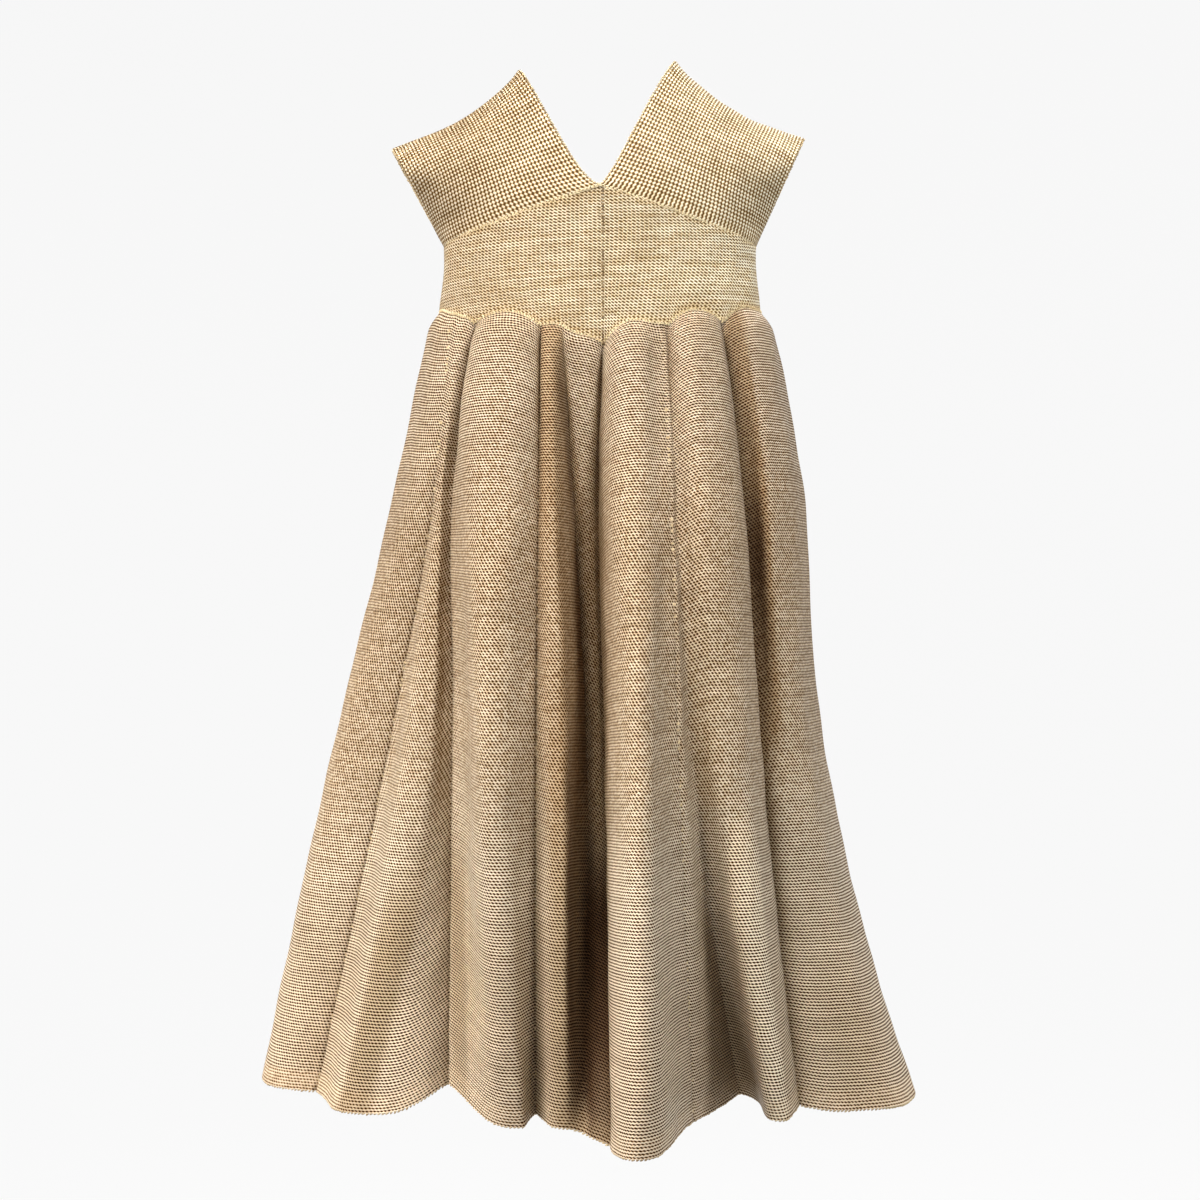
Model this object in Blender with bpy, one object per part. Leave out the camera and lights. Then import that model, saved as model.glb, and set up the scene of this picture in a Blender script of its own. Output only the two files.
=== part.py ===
# A knitted christening gown, filled out as it is worn, with no wearer.
# The front faces -Y, up is +Z, and the origin lies between the shoulders, where a wearer holds it.
# "left" and "right" are the wearer's: the right side is at -X.
from collections import namedtuple
from math import cos, pi, radians, sin

import bmesh
import bpy
import numpy as np

MM = 0.001

# Cloth
CLOTH = 2.0 * MM
SEAM_GAP = 0.3 * MM

# Heights, all below the shoulder line
NECK_LOW = -56 * MM
UNDERARM = -86 * MM
WAIST = -139 * MM
HEM = -611 * MM

# Bodice, half of its width and of its depth
CHEST = (96.5 * MM, 55 * MM)
WAIST_RING = (99.5 * MM, 58 * MM)
HEM_RING = (200 * MM, 150 * MM)  # the hem without its folds
SIDE_RISE = 4 * MM
BODICE_ROWS = 2
BODICE_TAPER = 1.2  # above 1, the bodice has its chest size before its top edge

# Shoulder bands in mm, across and up: side (-1 right, 1 left), neck point, outer tip, and the
# handles of the neck edge's curve at its lowest point and at the neck point
Band = namedtuple("Band", "name side neck tip leave arrive")
BANDS = (
    Band("right", -1, (51, 23), (128, -25), (14, 3), (22, 37)),
    Band("left", 1, (48, 28), (125.5, -19), (8, 3), (18, 26)),
)
SHOULDER_SAG = (8.7 * MM, 0.8)  # depth, and a power under 1 that brings it nearer the neck
CHEST_FLAT = (49 * MM, 38 * MM)  # half depth of the chest above the underarm, at the neck and at the arm
CHEST_BLEND = 0.85  # share of a band's rise over which the chest's round section turns into that flat one
SHOULDER_ROUND = 0.75  # under 1 gives a shoulder flatter on top than half an ellipse
BAND_COLUMNS = 9
BAND_ROWS = 8

# Skirt
GORE_COLUMNS = 9
LEAST_COLUMNS = 2  # of them between two fold lines
BEND_WORTH = 22 * MM  # length that one radian of bend counts for when columns are spread
SKIRT_ROWS = (0, 0.012, 0.03, 0.08, 0.16, 0.26, 0.38, 0.52, 0.66, 0.79, 0.9, 1)
LEVELS = (0, 0.2, 0.5, 1)  # shares of the way from waist to hem at which the folds are set out
# How far out the hidden folds have come at the two middle levels: to the right, to the left, behind
BACK_SHARES = {"right": (0.2, 0.47), "left": (0.2, 0.33), "behind": (0.33, 0.66)}
SHOULDER_OF_FOLD = 0.028  # share of the way down in which a fold rounds out from the waist seam
WAIST_CREASE = {"crest": 0, "flank": 0, "valley": 0.85}
BACK_CREASE = 0.75
FULLNESS = (1.3, 0.2)  # curve handles between two fold lines, as shares of the chord's reach and length
ARCH = 2  # how steeply the waist seam leaves a valley; 0 gives an even wave

# Lines down the skirt in mm and degrees, from the right side round the front to the left side: the
# turn from straight ahead at which each leaves the waist, how much higher than WAIST it starts and
# how far it stands out there; at the other three levels how far across and ahead it lies, which way
# it faces and how sharply it is creased; and how much lower than HEM it ends.
Line = namedtuple("Line", "kind seam turn rise bulge high low hem drop")
FRONT_LINES = (
    Line("valley", True, -95, 0, -3, (-118, -14, -99, 0.8), (-143, -46, -99, 0.8), (-180, -96, -105, 0.7), 0),
    Line("crest", False, -77, 9, 6, (-125, -2, -72, 0), (-161.5, -22, -77, 0), (-218, -60, -85, 0), 0),
    Line("flank", True, -62, 6, 5, (-99, 47, -46, 0.1), (-126, 24, -44, 0.15), (-178, -14, -40, 0.3), 0),
    Line("crest", False, -56, 4, 4, (-94.5, 50, -35, 0), (-101, 61, -15, 0), (-142, 53, -14, 0), 0),
    Line("valley", True, -50, 0, -4, (-89, 44, -28, 0.8), (-89, 50, -17, 0.8), (-91, 52, -8, 0.4), -18),
    Line("crest", False, -34, 7, 8, (-61, 93, -16, 0), (-62, 116, -8, 0), (-47, 88, 6, 0), 1),
    Line("valley", True, -21, -1, -3, (-36, 82, -11, 0.8), (-37, 98, -9, 0.8), (-38, 73, -5, 0.5), -4),
    Line("crest", False, -16.7, 0, 5, (-27.5, 93, -8, 0), (-23, 113, -12, 0), (-21, 93, -38, 0), 0),
    Line("valley", False, -13, -1, -2, (-16.5, 66, 29, 0.55), (-8.5, 72, 29, 0.55), (-8.5, 93, -30, 0.2), 3),
    Line("valley", True, 1, -12, -4, (-1, 64, -19, 0.72), (2.6, 71, -26, 0.7), (6.3, 104, -66, 0.35), 8),
    Line("crest", False, 12, 2, 8, (21, 104, 5, 0), (23, 142, 4, 0), (21, 145, 0, 0), 6.5),
    Line("flank", True, 21.5, 0, 0, (41, 92, 22, 0), (45, 114, 36, 0), (56, 66, 68, 0), 2),
    Line("valley", False, 24, -1, -3, (43.5, 82, 15, 0.8), (52, 96, 15, 0.8), (85.5, 16, 15, 0.5), -4),
    Line("crest", False, 35, 8, 8, (62, 92, 17, 0), (70, 106, 9, 0), (105, 73, -4, 0), 0),
    Line("valley", True, 48, 1, -3, (82.5, 50, 31, 0.8), (94, 52, 29, 0.7), (120, 47, 25, 0.5), -4),
    Line("crest", False, 63, 10, 7, (102, 54, 42, 0), (112, 52, 32, 0), (163, 40, 15, 0), 0),
    Line("crest", False, 80, 9, 6, (123.5, 6, 73, 0), (134, 6, 74, 0), (196, -4, 75, 0), 0),
)
CENTRE_FRONT = 9  # the line of FRONT_LINES at the centre front seam
# The hidden half, from the left side to the right: where each line reaches the hem.
BACK_LINES = (
    ("valley", (177, -54)),
    ("crest", (183, -88)),
    ("valley", (137, -86)),
    ("crest", (129, -131)),
    ("valley", (88, -104)),
    ("crest", (70, -152)),
    ("valley", (41, -114)),
    ("crest", (16, -158)),
    ("valley", (-12, -116)),
    ("crest", (-42, -156)),
    ("valley", (-72, -110)),
    ("crest", (-103, -146)),
    ("valley", (-132, -98)),
    ("crest", (-166, -131)),
)
BACK_EDGES = {"crest": (7, 8, 0), "valley": (0, -3, -3)}  # rise and bulge at the waist, drop at the hem
SIDE_TURN = 92  # the left side seam, from straight ahead
CENTRE_BACK = 8  # the line of BACK_LINES at the centre back seam

# Colours, as linear red, green and blue
BODICE_KNIT = (0.68, 0.53, 0.31)
SKIRT_KNIT = (0.55, 0.41, 0.24)


def clear_scene():
    for thing in list(bpy.data.objects):
        bpy.data.objects.remove(thing, do_unlink=True)


def make_material(name, colour):
    material = bpy.data.materials.new(name)
    material.use_nodes = True
    shader = material.node_tree.nodes["Principled BSDF"]
    shader.inputs["Base Color"].default_value = (*colour, 1)
    shader.inputs["Roughness"].default_value = 0.8
    shader.inputs["Metallic"].default_value = 0
    return material


def smooth(x):
    x = np.clip(x, 0, 1)
    return x * x * (3 - 2 * x)


def unit(vectors):
    return vectors / np.maximum(np.linalg.norm(vectors, axis=-1, keepdims=True), 1e-9)


def facing_on_ring(place, half_sizes, near):
    """Direction from straight ahead in which an ellipse faces at a place on it, close to the turn near."""
    across, ahead = np.array(place) / np.square(half_sizes)
    return near + (np.degrees(np.arctan2(across, ahead)) - near + 180) % 360 - 180


def on_ring(half_sizes, turns):
    """Places on an ellipse, across and along Y, at these turns from straight ahead."""
    return np.stack([half_sizes[0] * np.sin(turns), -half_sizes[1] * np.cos(turns)], axis=-1)


def back_lines():
    """The hidden fold lines in full: turns spread evenly between side and centre back seams."""
    middle_turn = 180 + FRONT_LINES[CENTRE_FRONT].turn
    last_turn = 360 + FRONT_LINES[0].turn
    marks = (0, CENTRE_BACK, len(BACK_LINES))
    turns = np.interp(range(len(BACK_LINES)), marks, (SIDE_TURN, middle_turn, last_turn))
    lines = []
    for (kind, hem), turn in zip(BACK_LINES, turns):
        start = on_ring(WAIST_RING, radians(turn)) / MM * (1, -1)
        first = facing_on_ring(start, WAIST_RING, turn)
        last = facing_on_ring(hem, HEM_RING, turn)
        side = "left" if hem[0] > 0 else "right"
        reached = (*zip(BACK_SHARES[side], BACK_SHARES["behind"]), (1, 1))
        levels = []
        for share, reach in zip(LEVELS[1:], reached):
            place = start + (np.array(hem) - start) * reach
            levels.append((*place, first + (last - first) * share, BACK_CREASE * (kind == "valley")))
        rise, bulge, drop = BACK_EDGES[kind]
        lines.append(Line(kind, kind == "valley", turn, rise, bulge, *levels, drop))
    return lines


LINES = list(FRONT_LINES) + back_lines()
STEPS = 24  # points worked out between two fold lines


def between_levels(values, share):
    """A smooth curve through one value per level, read at a share of the way down."""
    knots = np.array(LEVELS)
    slopes = np.gradient(values, knots, axis=0, edge_order=2)
    i = min(int(np.searchsorted(knots, share, side="right")) - 1, len(knots) - 2)
    span = knots[i + 1] - knots[i]
    x = (share - knots[i]) / span
    rise = (3 - 2 * x) * x * x
    return (
        values[i] * (1 - rise)
        + values[i + 1] * rise
        + slopes[i] * span * x * (1 - x) ** 2
        - slopes[i + 1] * span * x * x * (1 - x)
    )


def straight(values, share):
    """One value per level for each fold line, read at a share of the way down."""
    return np.array([np.interp(share, LEVELS, each) for each in np.transpose(values)])


def around(values):
    """One value per fold line, led all round the skirt: level over the crests, steep in the valleys."""
    values = np.array(values, float)
    steep = np.array([ARCH * (line.kind == "valley") for line in LINES])[:, None]
    x = np.arange(STEPS) / STEPS
    ease = smooth(x) + steep * x * (1 - x) ** 2 - np.roll(steep, -1, axis=0) * x * x * (1 - x)
    return (values[:, None] + (np.roll(values, -1) - values)[:, None] * ease).ravel()


def handles(directions, chords):
    """Curve handles that carry a fold's side out to its full reach and no further."""
    directions = unit(directions)
    reach = np.abs(np.sum(directions * chords, axis=1, keepdims=True))
    length = np.linalg.norm(chords, axis=1, keepdims=True)
    return directions * (FULLNESS[0] * reach + FULLNESS[1] * length)


def fold_curve(points, faces, creases):
    """A closed curve through the fold lines' places at one level, round at crests, creased in valleys."""
    chord = np.roll(points, -1, axis=0) - points
    along = np.column_stack([np.cos(faces), np.sin(faces)]) * (1 - creases)
    outward = np.column_stack([np.sin(faces), -np.cos(faces)]) * creases
    leaving = handles(along + outward, chord)
    arriving = np.roll(handles(along - outward, np.roll(chord, 1, axis=0)), -1, axis=0)
    x = (np.arange(STEPS) / STEPS)[None, :, None]
    curve = (
        points[:, None]
        + chord[:, None] * x * x * (3 - 2 * x)
        + leaving[:, None] * x * (1 - x) ** 2
        - arriving[:, None] * x * x * (1 - x)
    )
    return curve.reshape(-1, 2)


def waist_height(turns):
    """Height of the waist seam without its arches."""
    return WAIST + SIDE_RISE * np.sin(turns) ** 2


def skirt_ring(share):
    """Points all round the skirt at a share of the way from the waist seam to the hem."""
    turns = np.array([line.turn for line in LINES])
    waist = on_ring(WAIST_RING, np.radians(turns))
    outward = unit(waist / np.square(WAIST_RING))
    places = [waist + outward * np.array([line.bulge for line in LINES])[:, None] * MM]
    faces = [[facing_on_ring(place * (1, -1), WAIST_RING, turn) for place, turn in zip(waist, turns)]]
    creases = [[WAIST_CREASE[line.kind] for line in LINES]]
    for level in ("high", "low", "hem"):
        values = np.array([getattr(line, level) for line in LINES])
        places.append(values[:, :2] * (MM, -MM))
        faces.append(values[:, 2])
        creases.append(values[:, 3])
    places = between_levels(np.array(places), share)
    ring = fold_curve(places, np.radians(straight(faces, share)), straight(creases, share)[:, None])
    places_between = np.arange(len(LINES) * STEPS) / STEPS
    all_turns = np.interp(places_between, range(len(LINES) + 1), np.append(turns, turns[0] + 360))
    seam = on_ring(WAIST_RING, np.radians(all_turns))
    rounding = 1 - max(0, 1 - share / SHOULDER_OF_FOLD) ** 2
    flat = seam + (ring - seam) * rounding
    start = waist_height(np.radians(all_turns)) + around([line.rise for line in LINES]) * MM
    end = HEM - around([line.drop for line in LINES]) * MM
    return np.column_stack([flat, start + (end - start) * share])


def stretch_of(ring, i):
    """The ring's points from fold line i to the next one, and how far along each is, bends counted in."""
    points = ring[np.arange(i * STEPS, (i + 1) * STEPS + 1) % len(ring)]
    steps = np.diff(points, axis=0)
    bends = np.abs(np.gradient(np.unwrap(np.arctan2(steps[:, 1], steps[:, 0]))))
    worth = np.linalg.norm(steps, axis=1) + BEND_WORTH * bends
    return points, np.append(0, np.cumsum(worth))


def spread_points(ring, i, count):
    """Points spread along the ring from fold line i to the next, closer together in bends."""
    points, run = stretch_of(ring, i)
    wanted = np.linspace(0, run[-1], count + 1)[:-1]
    return np.stack([np.interp(wanted, run, points[:, axis]) for axis in range(3)], axis=-1)


def seams():
    """Places in LINES of the gores' seams, with the first one again at the end."""
    found = [i for i, line in enumerate(LINES) if line.seam]
    return found + [len(LINES)]


def column_counts(first, last):
    """How many of a gore's columns start in each stretch between its fold lines."""
    sizes = [stretch_of(skirt_ring(1), i)[1][-1] for i in range(first, last)]
    spare = GORE_COLUMNS - LEAST_COLUMNS * len(sizes)
    marks = np.round(np.cumsum([0] + sizes) / sum(sizes) * spare).astype(int)
    return LEAST_COLUMNS + np.diff(marks)


def skirt_grid():
    """Rows from waist to hem of columns all round; each gore has GORE_COLUMNS of them."""
    marks = seams()
    counts = np.concatenate([column_counts(a, b) for a, b in zip(marks, marks[1:])])
    rows = []
    for share in SKIRT_ROWS:
        ring = skirt_ring(share)
        rows.append(np.concatenate([spread_points(ring, i, n) for i, n in enumerate(counts)]))
    return np.array(rows)


def bodice_grid(waist_row):
    """Rows from the waist seam up to the slanting seam, over the skirt's own columns."""
    turns = turns_of(waist_row, WAIST_RING)
    top = NECK_LOW + (UNDERARM - NECK_LOW) * np.abs(np.sin(turns))
    rows = []
    for share in np.linspace(0, 1, BODICE_ROWS + 1):
        height = waist_row[:, 2] + (top - waist_row[:, 2]) * share
        sizes = [w + (c - w) * smooth(share * BODICE_TAPER) for w, c in zip(WAIST_RING, CHEST)]
        rows.append(np.column_stack([on_ring(sizes, turns), height]))
    return np.array(rows)


def band_grid(band, facing):
    """A shoulder band from the slanting seam to the shoulder: facing is -1 in front, 1 behind."""
    rows = []
    u = np.linspace(0, 1, BAND_COLUMNS + 1)
    for angle in np.linspace(0, pi / 2, BAND_ROWS + 1):
        up = sin(angle)
        low = np.array([0, NECK_LOW])
        top = np.array(band.neck) * MM
        neck = (
            low * (1 - up) ** 3
            + (low + np.array(band.leave) * MM) * 3 * up * (1 - up) ** 2
            + (top - np.array(band.arrive) * MM) * 3 * up * up * (1 - up)
            + top * up**3
        )
        arm = np.array([CHEST[0], UNDERARM]) * (1 - up) + np.array(band.tip) * MM * up
        share = np.sin(u * pi / 2) * (1 - up) + u * up
        place = neck + (arm - neck) * share[:, None]
        place[:, 1] -= SHOULDER_SAG[0] * up**2 * np.sin(share ** SHOULDER_SAG[1] * pi)
        flat = CHEST_FLAT[0] + (CHEST_FLAT[1] - CHEST_FLAT[0]) * u**2
        blend = smooth(up / CHEST_BLEND)
        depth = CHEST[1] * np.cos(u * pi / 2) * (1 - blend) + flat * blend
        depth *= cos(angle) ** SHOULDER_ROUND
        rows.append(np.column_stack([band.side * place[:, 0], facing * depth, place[:, 1]]))
    return np.array(rows)


def inward(grid, closed_round):
    """Unit directions into the cloth at each point of a grid whose rows run round from right to left."""
    steps = unit(np.roll(grid, -1, axis=1) - grid)
    if not closed_round:
        steps[:, -1] = steps[:, -2]
    before = np.roll(steps, 1, axis=1)
    if not closed_round:
        before[:, 0] = steps[:, 0]
    return unit(np.cross(steps + before, np.gradient(grid, axis=0)))


def into_ring(half_sizes, turns):
    """Level directions into the cloth on an ellipse."""
    place = on_ring(half_sizes, turns)
    level = unit(-place / np.square(half_sizes))
    return np.column_stack([level, np.zeros(len(level))])


def turns_of(row, half_sizes):
    return np.arctan2(row[:, 0] / half_sizes[0], -row[:, 1] / half_sizes[1])


def trim(edge, next_line, into):
    """Moves that take half a seam's gap off an edge, square to it and to the way into the cloth."""
    away = unit(np.cross(into, np.gradient(edge, axis=0)))
    towards = np.sign(np.sum(away * (next_line - edge), axis=1, keepdims=True))
    return away * towards * SEAM_GAP / 2


def make_cloth(name, grid, into, material, home):
    """A closed wall between a grid of outer points and the same grid moved into the cloth."""
    outer = grid.copy()
    outer[:, 0] += trim(grid[:, 0], grid[:, 1], into[:, 0])
    outer[:, -1] += trim(grid[:, -1], grid[:, -2], into[:, -1])
    outer[0] += trim(grid[0], grid[1], into[0])
    outer[-1] += trim(grid[-1], grid[-2], into[-1])
    inner = outer + into * CLOTH
    rows, columns = outer.shape[:2]
    cloth = bmesh.new()
    sides = []
    for points in (outer, inner):
        sides.append([[cloth.verts.new(point) for point in row] for row in points])
    for side, turned in zip(sides, (False, True)):
        for i in range(rows - 1):
            for j in range(columns - 1):
                corners = [side[i][j], side[i + 1][j], side[i + 1][j + 1], side[i][j + 1]]
                cloth.faces.new(corners[::-1] if turned else corners)
    rim = [(0, j) for j in range(columns - 1)]
    rim += [(i, columns - 1) for i in range(rows - 1)]
    rim += [(rows - 1, j) for j in range(columns - 1, 0, -1)]
    rim += [(i, 0) for i in range(rows - 1, 0, -1)]
    for (i, j), (k, l) in zip(rim, rim[1:] + rim[:1]):
        cloth.faces.new((sides[0][i][j], sides[0][k][l], sides[1][k][l], sides[1][i][j]))
    bmesh.ops.recalc_face_normals(cloth, faces=cloth.faces)
    mesh = bpy.data.meshes.new(name)
    cloth.to_mesh(mesh)
    cloth.free()
    mesh.materials.append(material)
    piece = bpy.data.objects.new(name, mesh)
    home.objects.link(piece)
    return piece


def main():
    clear_scene()
    home = bpy.data.collections.new("christening_gown")
    bpy.context.scene.collection.children.link(home)
    bodice_knit = make_material("bodice_knit", BODICE_KNIT)
    skirt_knit = make_material("skirt_knit", SKIRT_KNIT)

    skirt = skirt_grid()
    bodice = bodice_grid(skirt[0])
    bodice_into = -inward(bodice, True)
    bodice_into[0] = into_ring(WAIST_RING, turns_of(bodice[0], WAIST_RING))
    bodice_into[-1] = into_ring(CHEST, turns_of(bodice[-1], CHEST))
    into = inward(skirt, True)
    into[0] = bodice_into[0]
    ring = np.concatenate([skirt, skirt[:, :1]], axis=1)
    into = np.concatenate([into, into[:, :1]], axis=1)
    marks = seams()
    front_gores = sum(mark < len(FRONT_LINES) for mark in marks)
    for number in range(len(marks) - 1):
        columns = slice(number * GORE_COLUMNS, (number + 1) * GORE_COLUMNS + 1)
        if number < front_gores:
            name = f"gore_front_{number + 1}"
        else:
            name = f"gore_back_{number + 1 - front_gores}"
        make_cloth(name, ring[:, columns], into[:, columns], skirt_knit, home)

    bodice = np.concatenate([bodice, bodice[:, :1]], axis=1)
    into = np.concatenate([bodice_into, bodice_into[:, :1]], axis=1)
    centre_front = marks.index(CENTRE_FRONT)
    centre_back = marks.index(len(FRONT_LINES) + CENTRE_BACK)
    quarters = {
        "bodice_front_right": (0, centre_front),
        "bodice_front_left": (centre_front, front_gores),
        "bodice_back_left": (front_gores, centre_back),
        "bodice_back_right": (centre_back, len(marks) - 1),
    }
    for name, (first, last) in quarters.items():
        columns = slice(first * GORE_COLUMNS, last * GORE_COLUMNS + 1)
        make_cloth(name, bodice[:, columns], into[:, columns], bodice_knit, home)

    for band in BANDS:
        front = band_grid(band, -1)
        back = band_grid(band, 1)
        whole = np.concatenate([front, back[-2::-1]])
        into = inward(whole, False) * band.side * -1
        for end in (0, -1):
            into[end] = into_ring(CHEST, turns_of(whole[end], CHEST))
        rows = len(front)
        for place, first in (("front", 0), ("back", rows - 1)):
            piece = whole[first:first + rows]
            make_cloth(f"strap_{place}_{band.name}", piece, into[first:first + rows], bodice_knit, home)


main()
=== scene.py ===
from collections import namedtuple
from math import cos, pi, radians, sin

import bpy
import numpy as np
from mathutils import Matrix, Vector


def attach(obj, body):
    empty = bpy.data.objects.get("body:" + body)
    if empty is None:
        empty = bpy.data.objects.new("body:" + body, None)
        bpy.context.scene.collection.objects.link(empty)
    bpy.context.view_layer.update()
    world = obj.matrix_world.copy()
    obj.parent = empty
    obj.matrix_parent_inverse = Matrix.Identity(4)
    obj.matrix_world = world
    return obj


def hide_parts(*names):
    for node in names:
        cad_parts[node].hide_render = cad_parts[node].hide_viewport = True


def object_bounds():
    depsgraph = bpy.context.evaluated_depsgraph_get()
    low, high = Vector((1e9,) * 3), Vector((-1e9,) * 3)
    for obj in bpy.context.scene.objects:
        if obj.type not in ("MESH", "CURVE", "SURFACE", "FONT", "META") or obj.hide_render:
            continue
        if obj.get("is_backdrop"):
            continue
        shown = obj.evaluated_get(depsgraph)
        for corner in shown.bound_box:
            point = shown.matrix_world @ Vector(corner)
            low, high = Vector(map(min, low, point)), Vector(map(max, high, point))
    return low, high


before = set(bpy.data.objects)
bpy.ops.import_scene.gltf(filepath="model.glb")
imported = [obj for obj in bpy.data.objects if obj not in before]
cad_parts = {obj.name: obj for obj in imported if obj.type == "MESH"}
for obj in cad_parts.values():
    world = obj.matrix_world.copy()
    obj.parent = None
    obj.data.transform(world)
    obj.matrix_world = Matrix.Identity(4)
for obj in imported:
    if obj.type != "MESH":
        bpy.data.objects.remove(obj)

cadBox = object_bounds()
mm = 0.001
print("frame loaded:", len(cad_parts), "nodes")


# --- small tools for node trees

class Wire:
    # a socket in a sum: each operator adds its Math node
    def __init__(self, board, socket):
        self.board = board
        self.socket = socket

    def out(self, name):
        return Wire(self.board, self.socket.node.outputs[name])

    def math(self, operation, *others):
        terms = dict(enumerate((self, *others)))
        return self.board.node("ShaderNodeMath", {"operation": operation}, terms)

    def __add__(self, other):
        return self.math("ADD", other)

    def __radd__(self, other):
        return self.math("ADD", other)

    def __sub__(self, other):
        return self.math("SUBTRACT", other)

    def __rsub__(self, other):
        return self.board.node("ShaderNodeMath", {"operation": "SUBTRACT"}, {0: other, 1: self})

    def __mul__(self, other):
        return self.math("MULTIPLY", other)

    def __rmul__(self, other):
        return self.math("MULTIPLY", other)

    def wave(self):
        return (self * (2 * pi)).math("COSINE")

    def swing(self):
        return (self * (2 * pi)).math("SINE")

    def clamped(self):
        return self.math("MINIMUM", 1.0).math("MAXIMUM", 0.0)

    def between(self, low, high):
        # 0 below low, 1 above high, eased
        values = {"Value": self, "From Min": low, "From Max": high}
        return self.board.node("ShaderNodeMapRange", {"interpolation_type": "SMOOTHSTEP"}, values)


class Board:
    # a node tree to draw on
    def __init__(self, tree):
        self.tree = tree

    def node(self, kind, settings=None, values=None, output=0):
        made = self.tree.nodes.new(kind)
        for name, value in (settings or {}).items():
            if name == "stops":
                self.setStops(made.color_ramp, value)
            else:
                setattr(made, name, value)
        for key, value in (values or {}).items():
            if isinstance(value, Wire):
                self.tree.links.new(value.socket, made.inputs[key])
            else:
                made.inputs[key].default_value = value
        return Wire(self, made.outputs[output]) if made.outputs else made

    def setStops(self, ramp, stops):
        while len(ramp.elements) < len(stops):
            ramp.elements.new(0.5)
        for element, (place, colour) in zip(ramp.elements, stops):
            element.position = place
            element.color = (*colour, 1)

    def mix(self, factor, first, second, blend="MIX"):
        values = {0: factor}
        for key, colour in ((6, first), (7, second)):
            values[key] = colour if isinstance(colour, Wire) else (*colour, 1)
        return self.node("ShaderNodeMix", {"data_type": "RGBA", "blend_type": blend}, values, 2)

    def noise(self, vector, scale, detail=2.0):
        values = {"Vector": vector, "Scale": scale, "Detail": detail}
        return self.node("ShaderNodeTexNoise", {"noise_dimensions": "3D"}, values, "Fac")


# --- knitted yarns

# colours from the holes to the tops of the loops, each with its place on the scale; the darkest are painted
# shade in the holes and grooves, and the lightest hold a painted glint on the loops
skirtYarnAndShade = {
    "stops": [
        (0.06, (0.045, 0.012, 0.002)),
        (0.38, (0.37, 0.215, 0.085)),
        (0.66, (0.79, 0.61, 0.405)),
        (0.98, (1.0, 0.885, 0.68)),
    ],
    "rough": (0.85, 0.4),  # in the holes and on the loops
    "specular": 0.08,
}

bodiceYarnAndShade = {
    "stops": [
        (0.0, (0.12, 0.06, 0.018)),
        (0.35, (0.43, 0.29, 0.13)),
        (0.72, (0.76, 0.61, 0.38)),
        (1.0, (0.98, 0.94, 0.80)),
    ],
    "rough": (0.85, 0.45),
    "specular": 0.1,
}

# heights are counted in ridges up from the hem
skirtStitch = {
    "mesh": (1.05, 0.6),  # at the hem and above: staggered holes between the loops
    "row": (1.2, 0.3, 0.55),  # how deep the grooves between rows are: at the hem, halfway, at the waist
    "low": (15, 60),  # where mesh and rows change from the hem's look
    "high": (92, 125),  # and where the rows change to the waist's
    "ridge": 0.04,  # every second row
    "slant": 0.11,
    "depth": 0.22 * mm,
    "noise": (22, 170),  # how fine the slow and the quick unevenness are
    "slack": 0.3,  # rows wander by this share of a ridge
    "wander": 0.9,  # and columns by this share of a stitch
    "shiver": (0.14, 0.3),  # small and quick, down and across
    "hemRidges": (2.8, 3.6),  # the last ridges are knitted tighter, fading between these
    "hemFlat": (0.45, 0.05),  # how much flatter and how much paler they are
    "flatter": (-0.2, -0.1, 0.45),  # less relief at the far right: from x to x, by this much
    # painted shade: the knit's tone is set darker further up toward the waist
    "tone": (0.55, 0.2),  # at the hem, and how much less further up
    "toneRidges": (5, 100),
    "perLoop": 0.25,
    "rowShade": (0.02, 0.6),  # how quickly the yarn changes along a row and from row to row
}
skirtTints = {
    "patches": ((0.70, 0.69, 0.68), (0.86, 0.865, 0.88)),
    # painted shade: the skirt is tinted lighter at the hem and a little darker up to the waist
    "hem": (0.90, 0.84, 0.80),
    "middle": (0.83, 0.83, 0.84),
    "waist": (0.81, 0.80, 0.81),
    "middleRidges": (8, 60),
    "waistRidges": (85, 120),
    # painted shade in the folds, by how open a fold is: below the second number the shade turns to the
    # colour, fully at the first
    "fold": (0.15, 0.8, (0.46, 0.40, 0.33)),
    "deepFoldShade": (-1.0, 0.15, (0.10, 0.06, 0.035)),
    # painted light on the most open places
    "litFold": (1.05, 1.5, (0.86, 0.85, 0.84)),  # above these it turns lighter
}

bodiceStitch = {
    "columns": 0.53,
    "rows": 0.42,
    "slanting": 0.46,  # below the bands the loops lean, so the holes lie on a slant
    "leanColumns": 0.25,  # the columns there are weaker by this much
    "lean": 0.09,
    "streak": 0.6,
    "streakShape": (0.06, 0.5),  # how quickly it changes along a row and from row to row
    "depth": 0.3 * mm,
    "noise": (26, 190),
    "slack": 0.4,
    "shiver": (0.22, 0.26),
    "tone": 0.42,
    "perLoop": 0.2,
    "rowShade": (0.012, 0.7),
}
bodiceTints = {
    "patches": ((0.76, 0.71, 0.64), (0.96, 0.93, 0.89)),
    # painted light and shade: the bodice is tinted darker on its right and lighter on its left
    "across": (-0.1, 0.08),  # the shade turns from right to left between these places
    "right": (0.74, 0.71, 0.69),
    "left": (1.01, 1.04, 1.06),
}

# light and dark strands of the yarn in edges and seams
strands = {
    "noise": (900, 60),  # fine and slow
    "between": (0.3, 0.7),
    "depth": 0.2 * mm,
    "strength": 0.6,
}
edgeShades = {
    "edgeYarn": ((0.86, 0.75, 0.50), (0.50, 0.36, 0.19)),
    "seamYarn": ((0.74, 0.60, 0.38), (0.38, 0.26, 0.13)),
    # painted shade: dark loops that draw the shadowed line along the bodice's centre seams
    "seamShadeYarn": ((0.32, 0.22, 0.11), (0.14, 0.08, 0.035)),
}


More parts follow.
